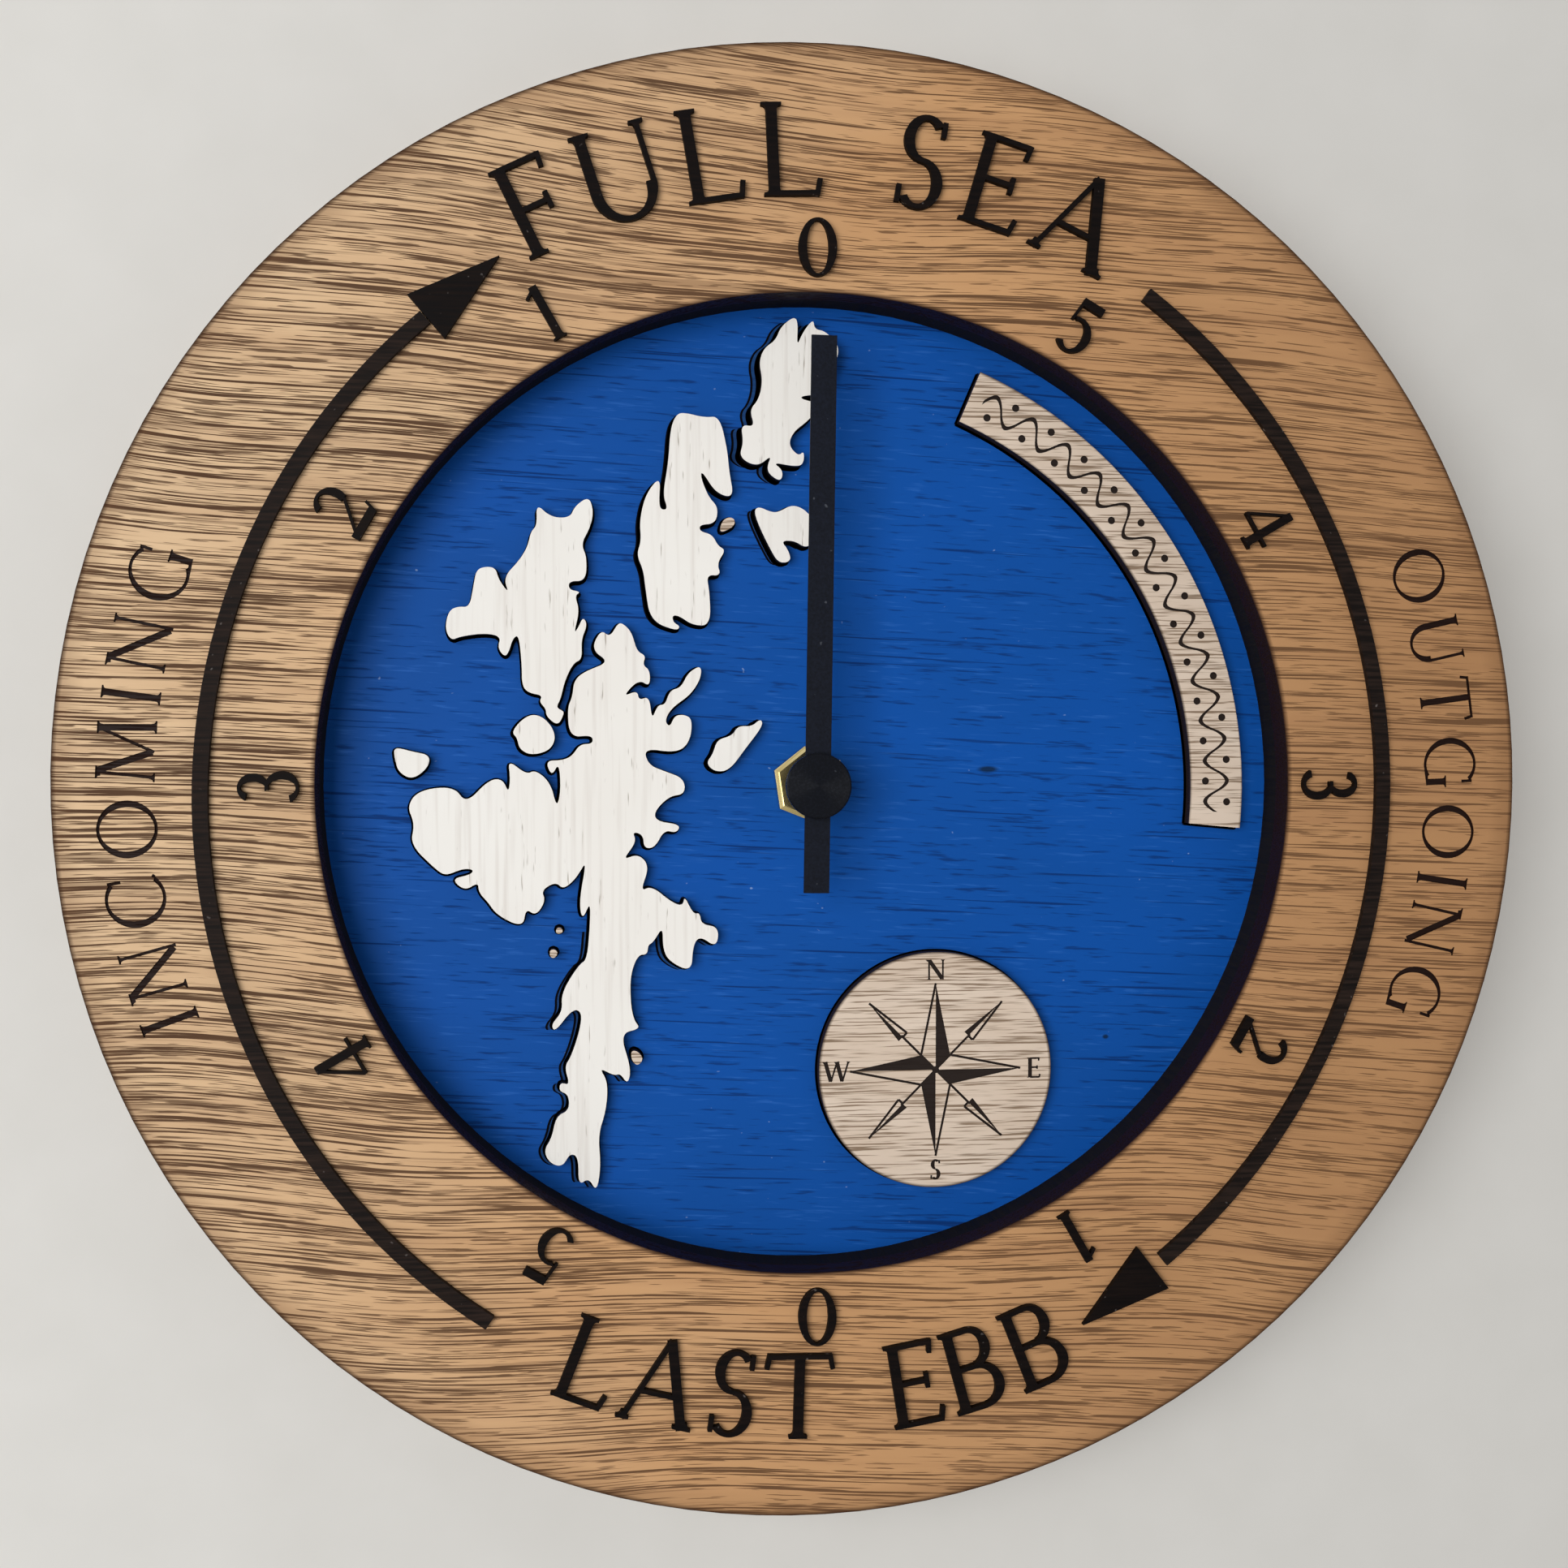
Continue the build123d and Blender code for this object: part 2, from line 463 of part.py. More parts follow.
# Islands: a relief map. Each coast is a loop of turning points, in hundredths of the dial's radius to the
# right of the clock's axis and up from it. The coast bends at every point, from the middle of the reach
# before it to the middle of the reach after it.
coast_hundredth_shares = {
    "north_island": [
        [(-3.4, 97.4), (-2.6, 96.0), (-2.9, 91.0), (-1.6, 94.2), (0.6, 97.0), (0.8, 94.8), (3.2, 94.5),
         (6.5, 91.0), (4.2, 86.0), (3.4, 81.4), (-1.9, 81.0), (-1.9, 80.2), (2.5, 79.4), (-0.5, 75.8),
         (-3.5, 73.6), (-4.7, 70.8), (-2.6, 68.4), (-1.3, 69.6), (-1.5, 66.6), (-3.6, 66.3), (-8.0, 67.1),
         (-5.7, 65.4), (-6.2, 63.0), (-8.7, 64.6), (-9.1, 66.2), (-8.1, 68.6), (-11.2, 66.0), (-15.0, 68.0),
         (-14.0, 71.0), (-14.6, 74.8), (-11.6, 74.3), (-12.8, 77.8), (-10.8, 80.0), (-10.0, 84.0),
         (-10.8, 87.6), (-9.8, 90.6), (-7.3, 92.3), (-6.2, 95.2)],
    ],
    "middle_island": [
        [(-26.4, 77.0), (-22.1, 76.0), (-19.0, 76.4), (-17.4, 69.5), (-17.0, 64.8), (-16.0, 59.5),
         (-19.8, 60.5), (-22.6, 65.0), (-23.0, 63.9), (-21.3, 59.6), (-19.3, 57.6), (-19.8, 54.2),
         (-23.2, 53.9), (-23.1, 52.5), (-20.5, 51.9), (-19.4, 49.6), (-17.7, 48.7), (-19.6, 46.0),
         (-18.7, 43.4), (-21.8, 43.6), (-21.1, 40.0), (-20.9, 33.1), (-24.6, 33.1), (-27.5, 35.1),
         (-28.9, 35.1), (-28.6, 33.6), (-27.2, 32.9), (-28.0, 31.9), (-33.4, 34.0), (-34.4, 40.8),
         (-34.8, 44.4), (-36.2, 47.6), (-35.2, 50.4), (-35.6, 54.5), (-34.3, 60.1), (-31.2, 63.9),
         (-31.6, 58.0), (-31.0, 56.8), (-29.7, 57.1), (-30.8, 60.0), (-29.6, 66.5), (-29.2, 73.5),
         (-28.0, 76.5)],
    ],
    "west_island": [
        [(-56.7, 57.8), (-53.8, 55.0), (-49.8, 54.9), (-48.8, 57.4), (-45.9, 59.4), (-45.0, 56.3),
         (-45.7, 53.0), (-47.6, 49.6), (-46.4, 47.0), (-46.6, 42.0), (-50.1, 42.0), (-50.1, 40.2),
         (-47.6, 39.8), (-48.9, 39.0), (-47.9, 36.0), (-49.1, 31.2), (-48.2, 32.4), (-47.2, 34.7),
         (-46.3, 33.0), (-47.6, 30.0), (-47.4, 25.9), (-49.2, 25.2), (-51.0, 21.5), (-51.8, 17.8),
         (-52.8, 16.0), (-51.3, 15.3), (-51.2, 14.6), (-52.4, 12.2), (-54.8, 14.2), (-54.8, 15.7),
         (-56.2, 17.2), (-55.5, 18.5), (-58.4, 19.0), (-59.7, 20.5), (-59.7, 25.0), (-60.3, 31.0),
         (-61.6, 30.0), (-62.3, 27.4), (-63.2, 26.3), (-64.6, 28.2), (-63.9, 30.5), (-67.0, 31.2),
         (-72.1, 30.5), (-74.0, 29.6), (-75.2, 32.0), (-74.5, 35.6), (-72.6, 36.6), (-70.2, 36.4),
         (-69.4, 41.0), (-68.8, 44.2), (-66.6, 44.8), (-64.9, 44.4), (-64.4, 42.2), (-62.2, 39.2),
         (-63.4, 42.6), (-60.2, 46.0), (-58.4, 49.0), (-57.8, 52.0), (-56.5, 53.3)],
    ],
    "main_island": [
        [(-39.2, 33.5), (-37.2, 31.6), (-36.2, 27.6), (-34.3, 26.8), (-35.0, 24.8), (-33.5, 23.8),
         (-33.5, 20.3), (-35.8, 21.9), (-39.2, 18.2), (-36.1, 19.6), (-35.8, 17.5), (-33.6, 18.4),
         (-33.1, 13.4), (-31.9, 16.6), (-30.3, 16.6), (-29.4, 19.6), (-27.0, 20.2), (-25.6, 23.3),
         (-22.8, 24.9), (-23.0, 21.9), (-25.2, 18.6), (-28.9, 16.1), (-30.5, 13.4), (-29.4, 11.9),
         (-28.4, 14.4), (-26.3, 14.6), (-24.7, 13.6), (-25.2, 8.9), (-28.0, 6.6), (-34.8, 7.7),
         (-33.9, 4.2), (-30.4, 2.8), (-26.5, 1.4), (-26.2, -1.9), (-29.6, -2.3), (-32.8, -5.7),
         (-32.0, -7.6), (-27.2, -8.2), (-28.0, -10.0), (-30.6, -9.3), (-32.5, -13.0), (-34.8, -13.1),
         (-34.9, -10.3), (-37.2, -9.6), (-36.3, -11.8), (-39.3, -15.6), (-36.0, -14.2), (-33.6, -16.8),
         (-35.6, -22.1), (-33.2, -20.9), (-29.1, -24.4), (-26.7, -25.2), (-26.4, -23.0), (-24.6, -26.9),
         (-23.2, -26.6), (-22.9, -29.1), (-19.2, -29.6), (-19.7, -34.0), (-23.2, -31.4), (-24.7, -33.5),
         (-24.9, -39.0), (-29.6, -36.7), (-30.9, -34.0), (-30.9, -29.3), (-32.9, -32.7), (-34.0, -33.2),
         (-34.1, -35.2), (-36.1, -35.2), (-37.7, -39.5), (-37.6, -45.5), (-36.9, -48.9), (-35.5, -50.6),
         (-39.9, -51.5), (-37.5, -58.8), (-38.2, -62.2), (-39.8, -59.8), (-41.0, -60.3), (-44.2, -58.5),
         (-42.3, -61.5), (-42.7, -67.5), (-44.4, -72.5), (-43.8, -79.0), (-44.7, -84.5), (-46.3, -81.4),
         (-48.5, -83.0), (-48.4, -77.0), (-50.2, -76.2), (-51.7, -79.0), (-54.3, -78.2), (-55.6, -75.5),
         (-53.9, -73.0), (-53.0, -68.4), (-50.3, -67.3), (-50.4, -64.0), (-52.4, -63.2), (-52.1, -61.4),
         (-50.1, -62.1), (-51.3, -58.2), (-49.9, -56.2), (-48.1, -50.8), (-47.6, -46.9), (-49.6, -46.2),
         (-53.2, -51.0), (-54.0, -49.4), (-51.6, -46.8), (-51.9, -42.9), (-48.2, -37.0), (-46.6, -36.2),
         (-46.0, -29.9), (-45.8, -23.8), (-47.5, -28.0), (-48.2, -24.0), (-46.5, -15.2), (-48.7, -19.2),
         (-51.4, -21.5), (-52.9, -19.9), (-55.9, -21.6), (-55.0, -23.8), (-57.0, -26.9), (-59.1, -25.3),
         (-59.6, -29.3), (-64.9, -26.7), (-66.7, -24.0), (-68.6, -22.0), (-68.7, -19.8), (-71.4, -21.6),
         (-74.2, -19.1), (-70.2, -18.3), (-69.6, -17.2), (-71.9, -17.0), (-75.3, -18.5), (-77.4, -17.0),
         (-82.4, -12.0), (-81.4, -7.8), (-83.0, -4.2), (-80.6, -0.9), (-73.5, -0.1), (-71.1, -3.8),
         (-66.6, 1.1), (-63.7, 1.4), (-62.5, -1.6), (-62.1, 1.5), (-62.6, 5.3), (-58.9, 2.2), (-57.0, 3.2),
         (-53.9, 0.5), (-52.7, -4.8), (-51.8, -1.0), (-52.2, 4.8), (-53.7, 1.8), (-55.0, 5.1), (-51.6, 5.1),
         (-49.5, 6.0), (-47.9, 8.5), (-45.2, 8.5), (-45.4, 10.4), (-50.0, 9.8), (-50.5, 15.9), (-49.4, 18.2),
         (-49.1, 21.6), (-46.8, 23.5), (-41.7, 25.4), (-45.6, 27.9), (-43.6, 32.1), (-41.7, 30.5),
         (-40.2, 33.2)],
    ],
    "islets": [
        [(-11.2, 58.0), (-8.0, 56.6), (-6.4, 56.9), (-4.0, 58.3), (-1.4, 57.6), (1.4, 54.5), (1.0, 51.0),
         (-0.9, 49.3), (-3.4, 50.9), (-6.2, 50.8), (-4.7, 49.0), (-4.0, 46.6), (-6.6, 46.1), (-8.4, 48.9),
         (-11.9, 56.2)],
        [(-10.5, 13.8), (-9.9, 12.4), (-13.7, 7.5), (-17.0, 3.0), (-20.0, 2.7), (-21.9, 4.5), (-20.4, 6.4),
         (-19.6, 9.4), (-16.4, 10.2), (-15.2, 12.3), (-12.3, 12.1)],
        [(-85.6, 8.0), (-81.8, 6.9), (-78.4, 6.3), (-78.6, 3.8), (-81.8, 1.2), (-84.6, 2.7), (-85.4, 5.4)],
        [(-58.0, 14.6), (-55.6, 14.2), (-53.4, 11.8), (-52.9, 9.2), (-54.4, 7.0), (-58.0, 6.2), (-60.3, 7.5),
         (-60.7, 9.8), (-61.8, 10.8), (-60.3, 13.0)],
    ],
    "bare_islets": [
        [(-17.2, 55.6), (-15.8, 55.2), (-16.0, 53.6), (-19.1, 52.1), (-18.6, 54.6)],
        [(-52.9, -29.4), (-51.7, -29.4), (-51.5, -30.5), (-52.9, -30.7)],
        [(-54.2, -34.0), (-53.2, -33.8), (-52.5, -34.6), (-53.2, -35.7), (-54.2, -35.4)],
        [(-37.6, -55.2), (-36.2, -55.2), (-34.9, -56.9), (-36.2, -58.4), (-37.4, -57.2)],
    ],
}


def coast(turning_points):
    """The outline of one island, as a face."""
    spots = [(right * opening_radius / 100, up * opening_radius / 100) for right, up in turning_points]
    middles = [((a[0] + b[0]) / 2, (a[1] + b[1]) / 2) for a, b in zip(spots, spots[1:] + spots[:1])]
    with BuildLine() as outline:
        for reach_before, spot, reach_after in zip(middles[-1:] + middles[:-1], spots, middles):
            Bezier(reach_before, spot, reach_after)
    make_face(outline.edges())


for name, coasts in coast_hundredth_shares.items():
    with BuildPart() as island:
        with BuildSketch(front_plane(dial_face)):
            for turning_points in coasts:
                coast(turning_points)
        extrude(amount=relief_thickness)
    save(island, name)

# Compass disc: a traditional eight-point rose, engraved. Shares are of the disc's radius.
compass_right_share = 0.268
compass_up_share = -0.605
rose_point_share = 0.735
rose_waist_share = 0.125
rose_line_share = 0.02
rose_centre_share = 0.03
spear_start_share = 0.40
spear_tip_share = 0.81
spear_half_share = 0.05
compass_letter_share = 0.17
compass_letter_weight_share = 1.7
compass_letter_foot_share = 0.765
compass_radius = compass_diameter / 2
waist = rose_waist_share * compass_radius
point = rose_point_share * compass_radius
rose_line = rose_line_share * compass_radius
spear_start = spear_start_share * compass_radius
spear_tip = spear_tip_share * compass_radius
spear_half = spear_half_share * compass_radius
compass_letter_height = compass_letter_share * compass_radius
compass_letter_middle = compass_letter_foot_share * compass_radius + compass_letter_height / 2
compass_letter_places = {"N": (0, 1), "E": (1, 0), "S": (0, -1), "W": (-1, 0)}
with BuildSketch() as rose_quarter:
    with BuildLine():
        Polyline((0, 0), (0, point), (waist, waist), close=True)
    make_face()
    stroke((0, point), (-waist, waist), rose_line)
    stroke((0, 0), (-waist, waist), rose_line)
with BuildSketch() as rose_spear:
    with BuildLine():
        Polyline((0, spear_start), (0, spear_tip), (-spear_half, spear_start), close=True)
    make_face()
    stroke((0, spear_tip), (spear_half, spear_start), rose_line)
    stroke((spear_half, spear_start), (0, spear_start), rose_line)
    stroke((0, waist), (0, spear_start + rose_line), rose_line)
with BuildPart() as compass_disc:
    compass_place = (compass_right_share * opening_radius, compass_up_share * opening_radius)
    with BuildSketch(front_plane(dial_face, *compass_place)):
        Circle(compass_radius)
    extrude(amount=relief_thickness)
    with BuildSketch(front_plane(dial_face + relief_thickness, *compass_place)):
        Circle(rose_centre_share * compass_radius)
        with PolarLocations(0, 4):
            add(rose_quarter.sketch)
        with PolarLocations(0, 4, 45):
            add(rose_spear.sketch)
        for letter, (right, up) in compass_letter_places.items():
            foot = up * compass_letter_middle - compass_letter_height / 2
            with Locations((right * compass_letter_middle, foot)):
                add(glyph(letter, compass_letter_height, compass_letter_weight_share))
    extrude(amount=-engraving_depth, mode=Mode.SUBTRACT)
save(compass_disc, "compass_disc")

# Arc plaque: a curved strip with an engraved running wave, and a dot in each hollow of the wave
wave_count = 12
wave_steps = 8
wave_height_share = 0.21
wave_line_share = 0.085
wave_dot_share = 0.07
plaque_right_share = -0.016
plaque_up_share = -0.008
plaque_middle = (plaque_inner_radius + plaque_outer_radius) / 2
wave_height = wave_height_share * plaque_width
wave_line = wave_line_share * plaque_width
wave_margin = degrees(wave_end_gap / plaque_middle)
wave_start = plaque_start + wave_margin
wave_span = plaque_end - plaque_start - 2 * wave_margin


def wave_edge(offset):
    """One edge of the running wave's line."""
    count = wave_count * wave_steps
    return [
        clock_point(
            plaque_middle + offset + wave_height * sin(2 * pi * step / wave_steps),
            wave_start + wave_span * step / count,
        )
        for step in range(count + 1)
    ]


with BuildPart() as arc_plaque:
    plaque_place = (plaque_right_share * opening_radius, plaque_up_share * opening_radius)
    with BuildSketch(front_plane(dial_face, *plaque_place)):
        ring_sector(plaque_inner_radius, plaque_outer_radius, plaque_start, plaque_end)
    extrude(amount=relief_thickness)
    with BuildSketch(front_plane(dial_face + relief_thickness, *plaque_place)):
        with BuildLine():
            upper = Spline(*wave_edge(wave_line / 2))
            lower = Spline(*wave_edge(-wave_line / 2))
            Line(upper @ 0, lower @ 0)
            Line(upper @ 1, lower @ 1)
        make_face()
        for half_wave in range(2 * wave_count):
            side = -1 if half_wave % 2 == 0 else 1
            angle = wave_start + wave_span * (half_wave + 1 / 2) / (2 * wave_count)
            with Locations(clock_point(plaque_middle + side * wave_height, angle)):
                Circle(wave_dot_share * plaque_width)
    extrude(amount=-engraving_depth, mode=Mode.SUBTRACT)
save(arc_plaque, "arc_plaque")

# Words for high and low water: raised letters, painted black
high_gap_share = 0.16
low_gap_share = 0.16
high_word = "FULL SEA"
low_word = "LAST EBB"
high_spots = word_spots(high_word, high_letter_height, high_foot_radius, 0, high_gap_share)
low_spots = word_spots(low_word, low_letter_height, low_foot_radius, 180, low_gap_share, tops_outward=False)
for name, spots in {"high_water_letters": high_spots, "low_water_letters": low_spots}.items():
    with BuildPart() as letters:
        with BuildSketch(front_plane(ring_front)):
            place_spots(spots)
        extrude(amount=lettering_thickness)
    save(letters, name)

# Numerals: hours left to the next turn of the tide, twice round, with their tops outward
numeral_order = "054321054321"
with BuildPart() as numerals:
    with BuildSketch(front_plane(ring_front)):
        for place, numeral in enumerate(numeral_order):
            angle = 360 / len(numeral_order) * place
            with Locations(Location(clock_point(numeral_foot_radius, angle), -angle)):
                add(glyph(numeral, numeral_height))
    extrude(amount=lettering_thickness)
save(numerals, "numerals")

# Arrows: two like arc strips, glued a little inside the ring's middle line, with loose arrowheads.
# They run between the words, and each one's centre is shifted by shares of the clock's radius.
high_end = degrees(word_run(high_word, high_letter_height, high_gap_share) / 2 / high_foot_radius)
low_end = degrees(word_run(low_word, low_letter_height, low_gap_share) / 2 / low_foot_radius)
rising_run = rising_tip_gap + arrow_length + rising_arrow_gap
falling_run = falling_tip_gap + arrow_length + falling_arrow_gap
rising_start = 180 + low_end + degrees(rising_start_gap / strip_radius)
rising_end = 360 - high_end - degrees(rising_run / strip_radius)
falling_start = high_end + degrees(falling_start_gap / strip_radius)
falling_end = 180 - low_end - degrees(falling_run / strip_radius)
shift_shares = {"rising": (0.0287, -0.0193), "falling": (-0.0373, -0.0053)}
arrows = {
    "rising": (rising_start, rising_end, rising_arrow_gap),
    "falling": (falling_start, falling_end, falling_arrow_gap),
}
for name, (start, end, arrow_gap) in arrows.items():
    shift = [share * clock_radius for share in shift_shares[name]]
    with BuildPart() as strip:
        with BuildSketch(front_plane(ring_front, *shift)):
            ring_sector(strip_radius - strip_width / 2, strip_radius + strip_width / 2, start, end)
        extrude(amount=lettering_thickness)
    save(strip, f"{name}_strip")
    head_angle = end + degrees(arrow_gap / strip_radius)
    foot = clock_point(strip_radius, head_angle)
    with BuildPart() as arrowhead:
        with BuildSketch(front_plane(ring_front, shift[0] + foot[0], shift[1] + foot[1], -head_angle)):
            with BuildLine():
                Polyline((0, -arrow_width / 2), (arrow_length, 0), (0, arrow_width / 2), close=True)
            make_face()
        extrude(amount=lettering_thickness)
    save(arrowhead, f"{name}_arrowhead")

# Tide hand: a straight baton, pointing to high water
with BuildPart() as tide_hand:
    with BuildSketch(front_plane(hand_back, 0, 0, -hand_lean)):
        with Locations((0, (hand_reach - hand_tail) / 2)):
            Rectangle(hand_width, hand_reach + hand_tail)
        Circle(arbor_diameter / 2, mode=Mode.SUBTRACT)
    extrude(amount=hand_thickness)
save(tide_hand, "tide_hand")

# Hand boss: the turned collar behind the hand, pressed on the arbor
with BuildPart() as hand_boss:
    with BuildSketch(front_plane(hand_back - boss_length)):
        Circle(boss_diameter / 2)
        Circle(arbor_diameter / 2, mode=Mode.SUBTRACT)
    extrude(amount=boss_length)
    rear_rims = hand_boss.edges().filter_by(GeomType.CIRCLE).group_by(Axis.Y)[-1]
    rear_rim = rear_rims.sort_by(SortBy.RADIUS)[-1]
    chamfer(rear_rim, boss_chamfer)
save(hand_boss, "hand_boss")

# Hub cap: the turned disc over the middle of the hand
with BuildPart() as hub_cap:
    with BuildSketch(front_plane(hand_front)):
        Circle(cap_diameter / 2)
    extrude(amount=cap_thickness)
    chamfer(hub_cap.edges().group_by(Axis.Y)[0], cap_chamfer)
save(hub_cap, "hub_cap")

# Hand arbor: runs through the threaded bush, from the tide wheel to the back of the cap
tide_wheel_front = case_inner - wheel_front_gap
tide_wheel_back = tide_wheel_front - wheel_thickness
with BuildPart() as hand_arbor:
    with BuildSketch(front_plane(tide_wheel_back)):
        Circle(arbor_diameter / 2)
    extrude(amount=hand_front - tide_wheel_back)
save(hand_arbor, "hand_arbor")

# Threaded bush: the movement's neck, which clamps it to the dial
with BuildPart() as threaded_bush:
    with BuildSketch(front_plane(case_inner)):
        Circle(bush_diameter / 2)
        Circle(arbor_diameter / 2 + running_clearance, mode=Mode.SUBTRACT)
    extrude(amount=dial_face + bush_reach - case_inner)
    front_rims = threaded_bush.edges().filter_by(GeomType.CIRCLE).group_by(Axis.Y)[0]
    front_rim = front_rims.sort_by(SortBy.RADIUS)[-1]
    chamfer(front_rim, bush_chamfer)
save(threaded_bush, "threaded_bush")

# Brass washer and hexagon nut in front of the dial, rubber washer behind it
with BuildPart() as brass_washer:
    with BuildSketch(front_plane(dial_face)):
        Circle(washer_diameter / 2)
        Circle(bush_diameter / 2, mode=Mode.SUBTRACT)
    extrude(amount=washer_thickness)
save(brass_washer, "brass_washer")

with BuildPart() as hex_nut:
    with BuildSketch(front_plane(nut_back)):
        RegularPolygon(nut_across_flats / 2, 6, major_radius=False, rotation=nut_turn)
        Circle(bush_diameter / 2, mode=Mode.SUBTRACT)
    extrude(amount=nut_thickness)
    chamfer(hex_nut.edges().group_by(Axis.Y)[0], nut_chamfer)
save(hex_nut, "hex_nut")

with BuildPart() as rubber_washer:
    with BuildSketch(front_plane(case_front)):
        Circle(rubber_diameter / 2)
        Circle(bush_diameter / 2, mode=Mode.SUBTRACT)
    extrude(amount=rubber_thickness)
save(rubber_washer, "rubber_washer")

# Gear train. Each wheel is moulded in one with the pinion that drives the next wheel towards the hand.
# The gears' teeth have straight flanks. Shares are of the module.
addendum_share = 0.75
dedendum_share = 1.10
backlash_share = 0.36
flank_angle = 20
tide_axis = (0.0, 0.0)
third_direction = 150
second_direction = 62
first_direction = -5
rotor_direction = -35
knob_direction = -40


def beyond(place, direction, teeth, leaves):
    """The axis of a gear that meshes with another one, in a direction from it."""
    distance = gear_module * (teeth + leaves) / 2
    return (
        place[0] + distance * cos(radians(direction)),
        place[1] + distance * sin(radians(direction)),
    )


third_axis = beyond(tide_axis, third_direction, tide_teeth, pinion_leaves)
second_axis = beyond(third_axis, second_direction, third_teeth, pinion_leaves)
first_axis = beyond(second_axis, first_direction, second_teeth, pinion_leaves)
rotor_axis = beyond(first_axis, rotor_direction, first_teeth, pinion_leaves)
knob_axis = beyond(tide_axis, knob_direction, tide_teeth, knob_teeth)


def tip_radius(teeth):
    """The radius of a gear over the tips of its teeth."""
    return gear_module * teeth / 2 + addendum_share * gear_module


def gear_outline(teeth, tooth_angle):
    """A toothed outline with the middle of one tooth at an angle from the right."""
    pitch_radius = gear_module * teeth / 2
    tip = addendum_share * gear_module
    root = dedendum_share * gear_module
    half = (pi / 2 - backlash_share) * gear_module / 2
    slope = tan(radians(flank_angle))
    sides = [(-1, -root), (-1, tip), (1, tip), (1, -root)]
    corners = []
    for tooth in range(teeth):
        middle = radians(tooth_angle) + 2 * pi * tooth / teeth
        for side, rise in sides:
            radius = pitch_radius + rise
            angle = middle + side * (half - rise * slope) / radius
            corners.append((radius * cos(angle), radius * sin(angle)))
    with BuildLine() as outline:
        Polyline(*corners, close=True)
    make_face(outline.edges())


def gap_angle(direction, teeth):
    """Turns a wheel so that a gap between two teeth faces the gear in that direction."""
    return direction + 180 / teeth


def meshed_angle(direction, gap_direction, teeth, leaves):
    """Turns a pinion so that its teeth fall in the gaps of a wheel that has a gap in a known direction."""
    pitches_past_gap = (direction - gap_direction) * teeth / 360 % 1
    return direction + 180 + pitches_past_gap * 360 / leaves


# Levels of the wheels, stepping back from the front of the case
third_wheel_back = tide_wheel_back - wheel_pitch
second_wheel_back = third_wheel_back - wheel_pitch
first_wheel_back = second_wheel_back - wheel_pitch
rotor_pinion_back = first_wheel_back - pinion_overlap
magnet_front = rotor_pinion_back - magnet_gap
magnet_back = magnet_front - magnet_length
gear_plate_front = magnet_back - train_back_gap
gear_plate_back = gear_plate_front - gear_plate_thickness
pivot_front = case_inner + pivot_depth
pivot_back = gear_plate_front - pivot_depth
pinion_length = wheel_thickness + 2 * pinion_overlap

with BuildPart() as tide_wheel:
    with BuildSketch(front_plane(tide_wheel_back)):
        gear_outline(tide_teeth, gap_angle(third_direction, tide_teeth))
        Circle(arbor_diameter / 2, mode=Mode.SUBTRACT)
    extrude(amount=wheel_thickness)
save(tide_wheel, "tide_wheel")

# Each moulded wheel: its axis, its level, its teeth, the direction of the pinion that drives it,
# the direction of the wheel that its own pinion drives, and that wheel's level
train = {
    "third_wheel": (third_axis, third_wheel_back, third_teeth, second_direction, third_direction,
                    tide_wheel_back),
    "second_wheel": (second_axis, second_wheel_back, second_teeth, first_direction, second_direction,
                     third_wheel_back),
    "first_wheel": (first_axis, first_wheel_back, first_teeth, rotor_direction, first_direction,
                    second_wheel_back),
}
for name, (axis, wheel_back, teeth, ahead, behind, driven_back) in train.items():
    with BuildPart() as wheel:
        with BuildSketch(front_plane(wheel_back, *axis)):
            gear_outline(teeth, gap_angle(ahead, teeth))
        extrude(amount=wheel_thickness)
        with BuildSketch(front_plane(driven_back - pinion_overlap, *axis)):
            gear_outline(pinion_leaves, behind + 180)
        extrude(amount=pinion_length)
        with BuildSketch(front_plane(pivot_back, *axis)):
            Circle(gear_arbor_diameter / 2)
        extrude(amount=pivot_front - pivot_gap - pivot_back)
    save(wheel, name)

# Rotor: a pinion on a thin arbor, with a two-pole magnet pressed on it
with BuildPart() as rotor_pinion:
    with BuildSketch(front_plane(rotor_pinion_back, *rotor_axis)):
        gear_outline(pinion_leaves, rotor_direction + 180)
    extrude(amount=pinion_length)
    with BuildSketch(front_plane(pivot_back, *rotor_axis)):
        Circle(gear_arbor_diameter / 2)
    extrude(amount=pivot_front - pivot_gap - pivot_back)
save(rotor_pinion, "rotor_pinion")

with BuildPart() as rotor_magnet:
    with BuildSketch(front_plane(magnet_back, *rotor_axis)):
        Circle(magnet_diameter / 2)
        Circle(gear_arbor_diameter / 2, mode=Mode.SUBTRACT)
    extrude(amount=magnet_length)
save(rotor_magnet, "rotor_magnet")

# Places inside the case. The cell lies along its foot and sets its width, the wheels set its top,
# and the coil stands at its right side.
wheel_tops = [
    third_axis[1] + tip_radius(third_teeth),
    second_axis[1] + tip_radius(second_teeth),
    first_axis[1] + tip_radius(first_teeth),
]
case_width = battery_length + battery_nub_length + contact_thickness + contact_bow + 2 * case_wall
case_inside = case_width - 2 * case_wall
case_top = max(wheel_tops) + case_clearance + case_wall
bay_top = knob_axis[1] - knob_diameter / 2 - bay_gap - bay_wall
battery_up = bay_top - battery_clearance - battery_diameter / 2
battery_height = case_inner - battery_clearance - battery_diameter / 2
case_bottom = battery_up - battery_diameter / 2 - battery_clearance - case_wall
case_height = case_top - case_bottom
works_low = bay_top + bay_wall
works_high = case_top - case_wall
case_middle_up = (case_top + case_bottom) / 2
coil_right = case_inside / 2 - coil_inset
stator_back = (magnet_front + magnet_back - stator_thickness) / 2
stator_front = stator_back + stator_thickness
left_post_right_share = -0.295
left_post_up_shares = [0.128, 0.886]
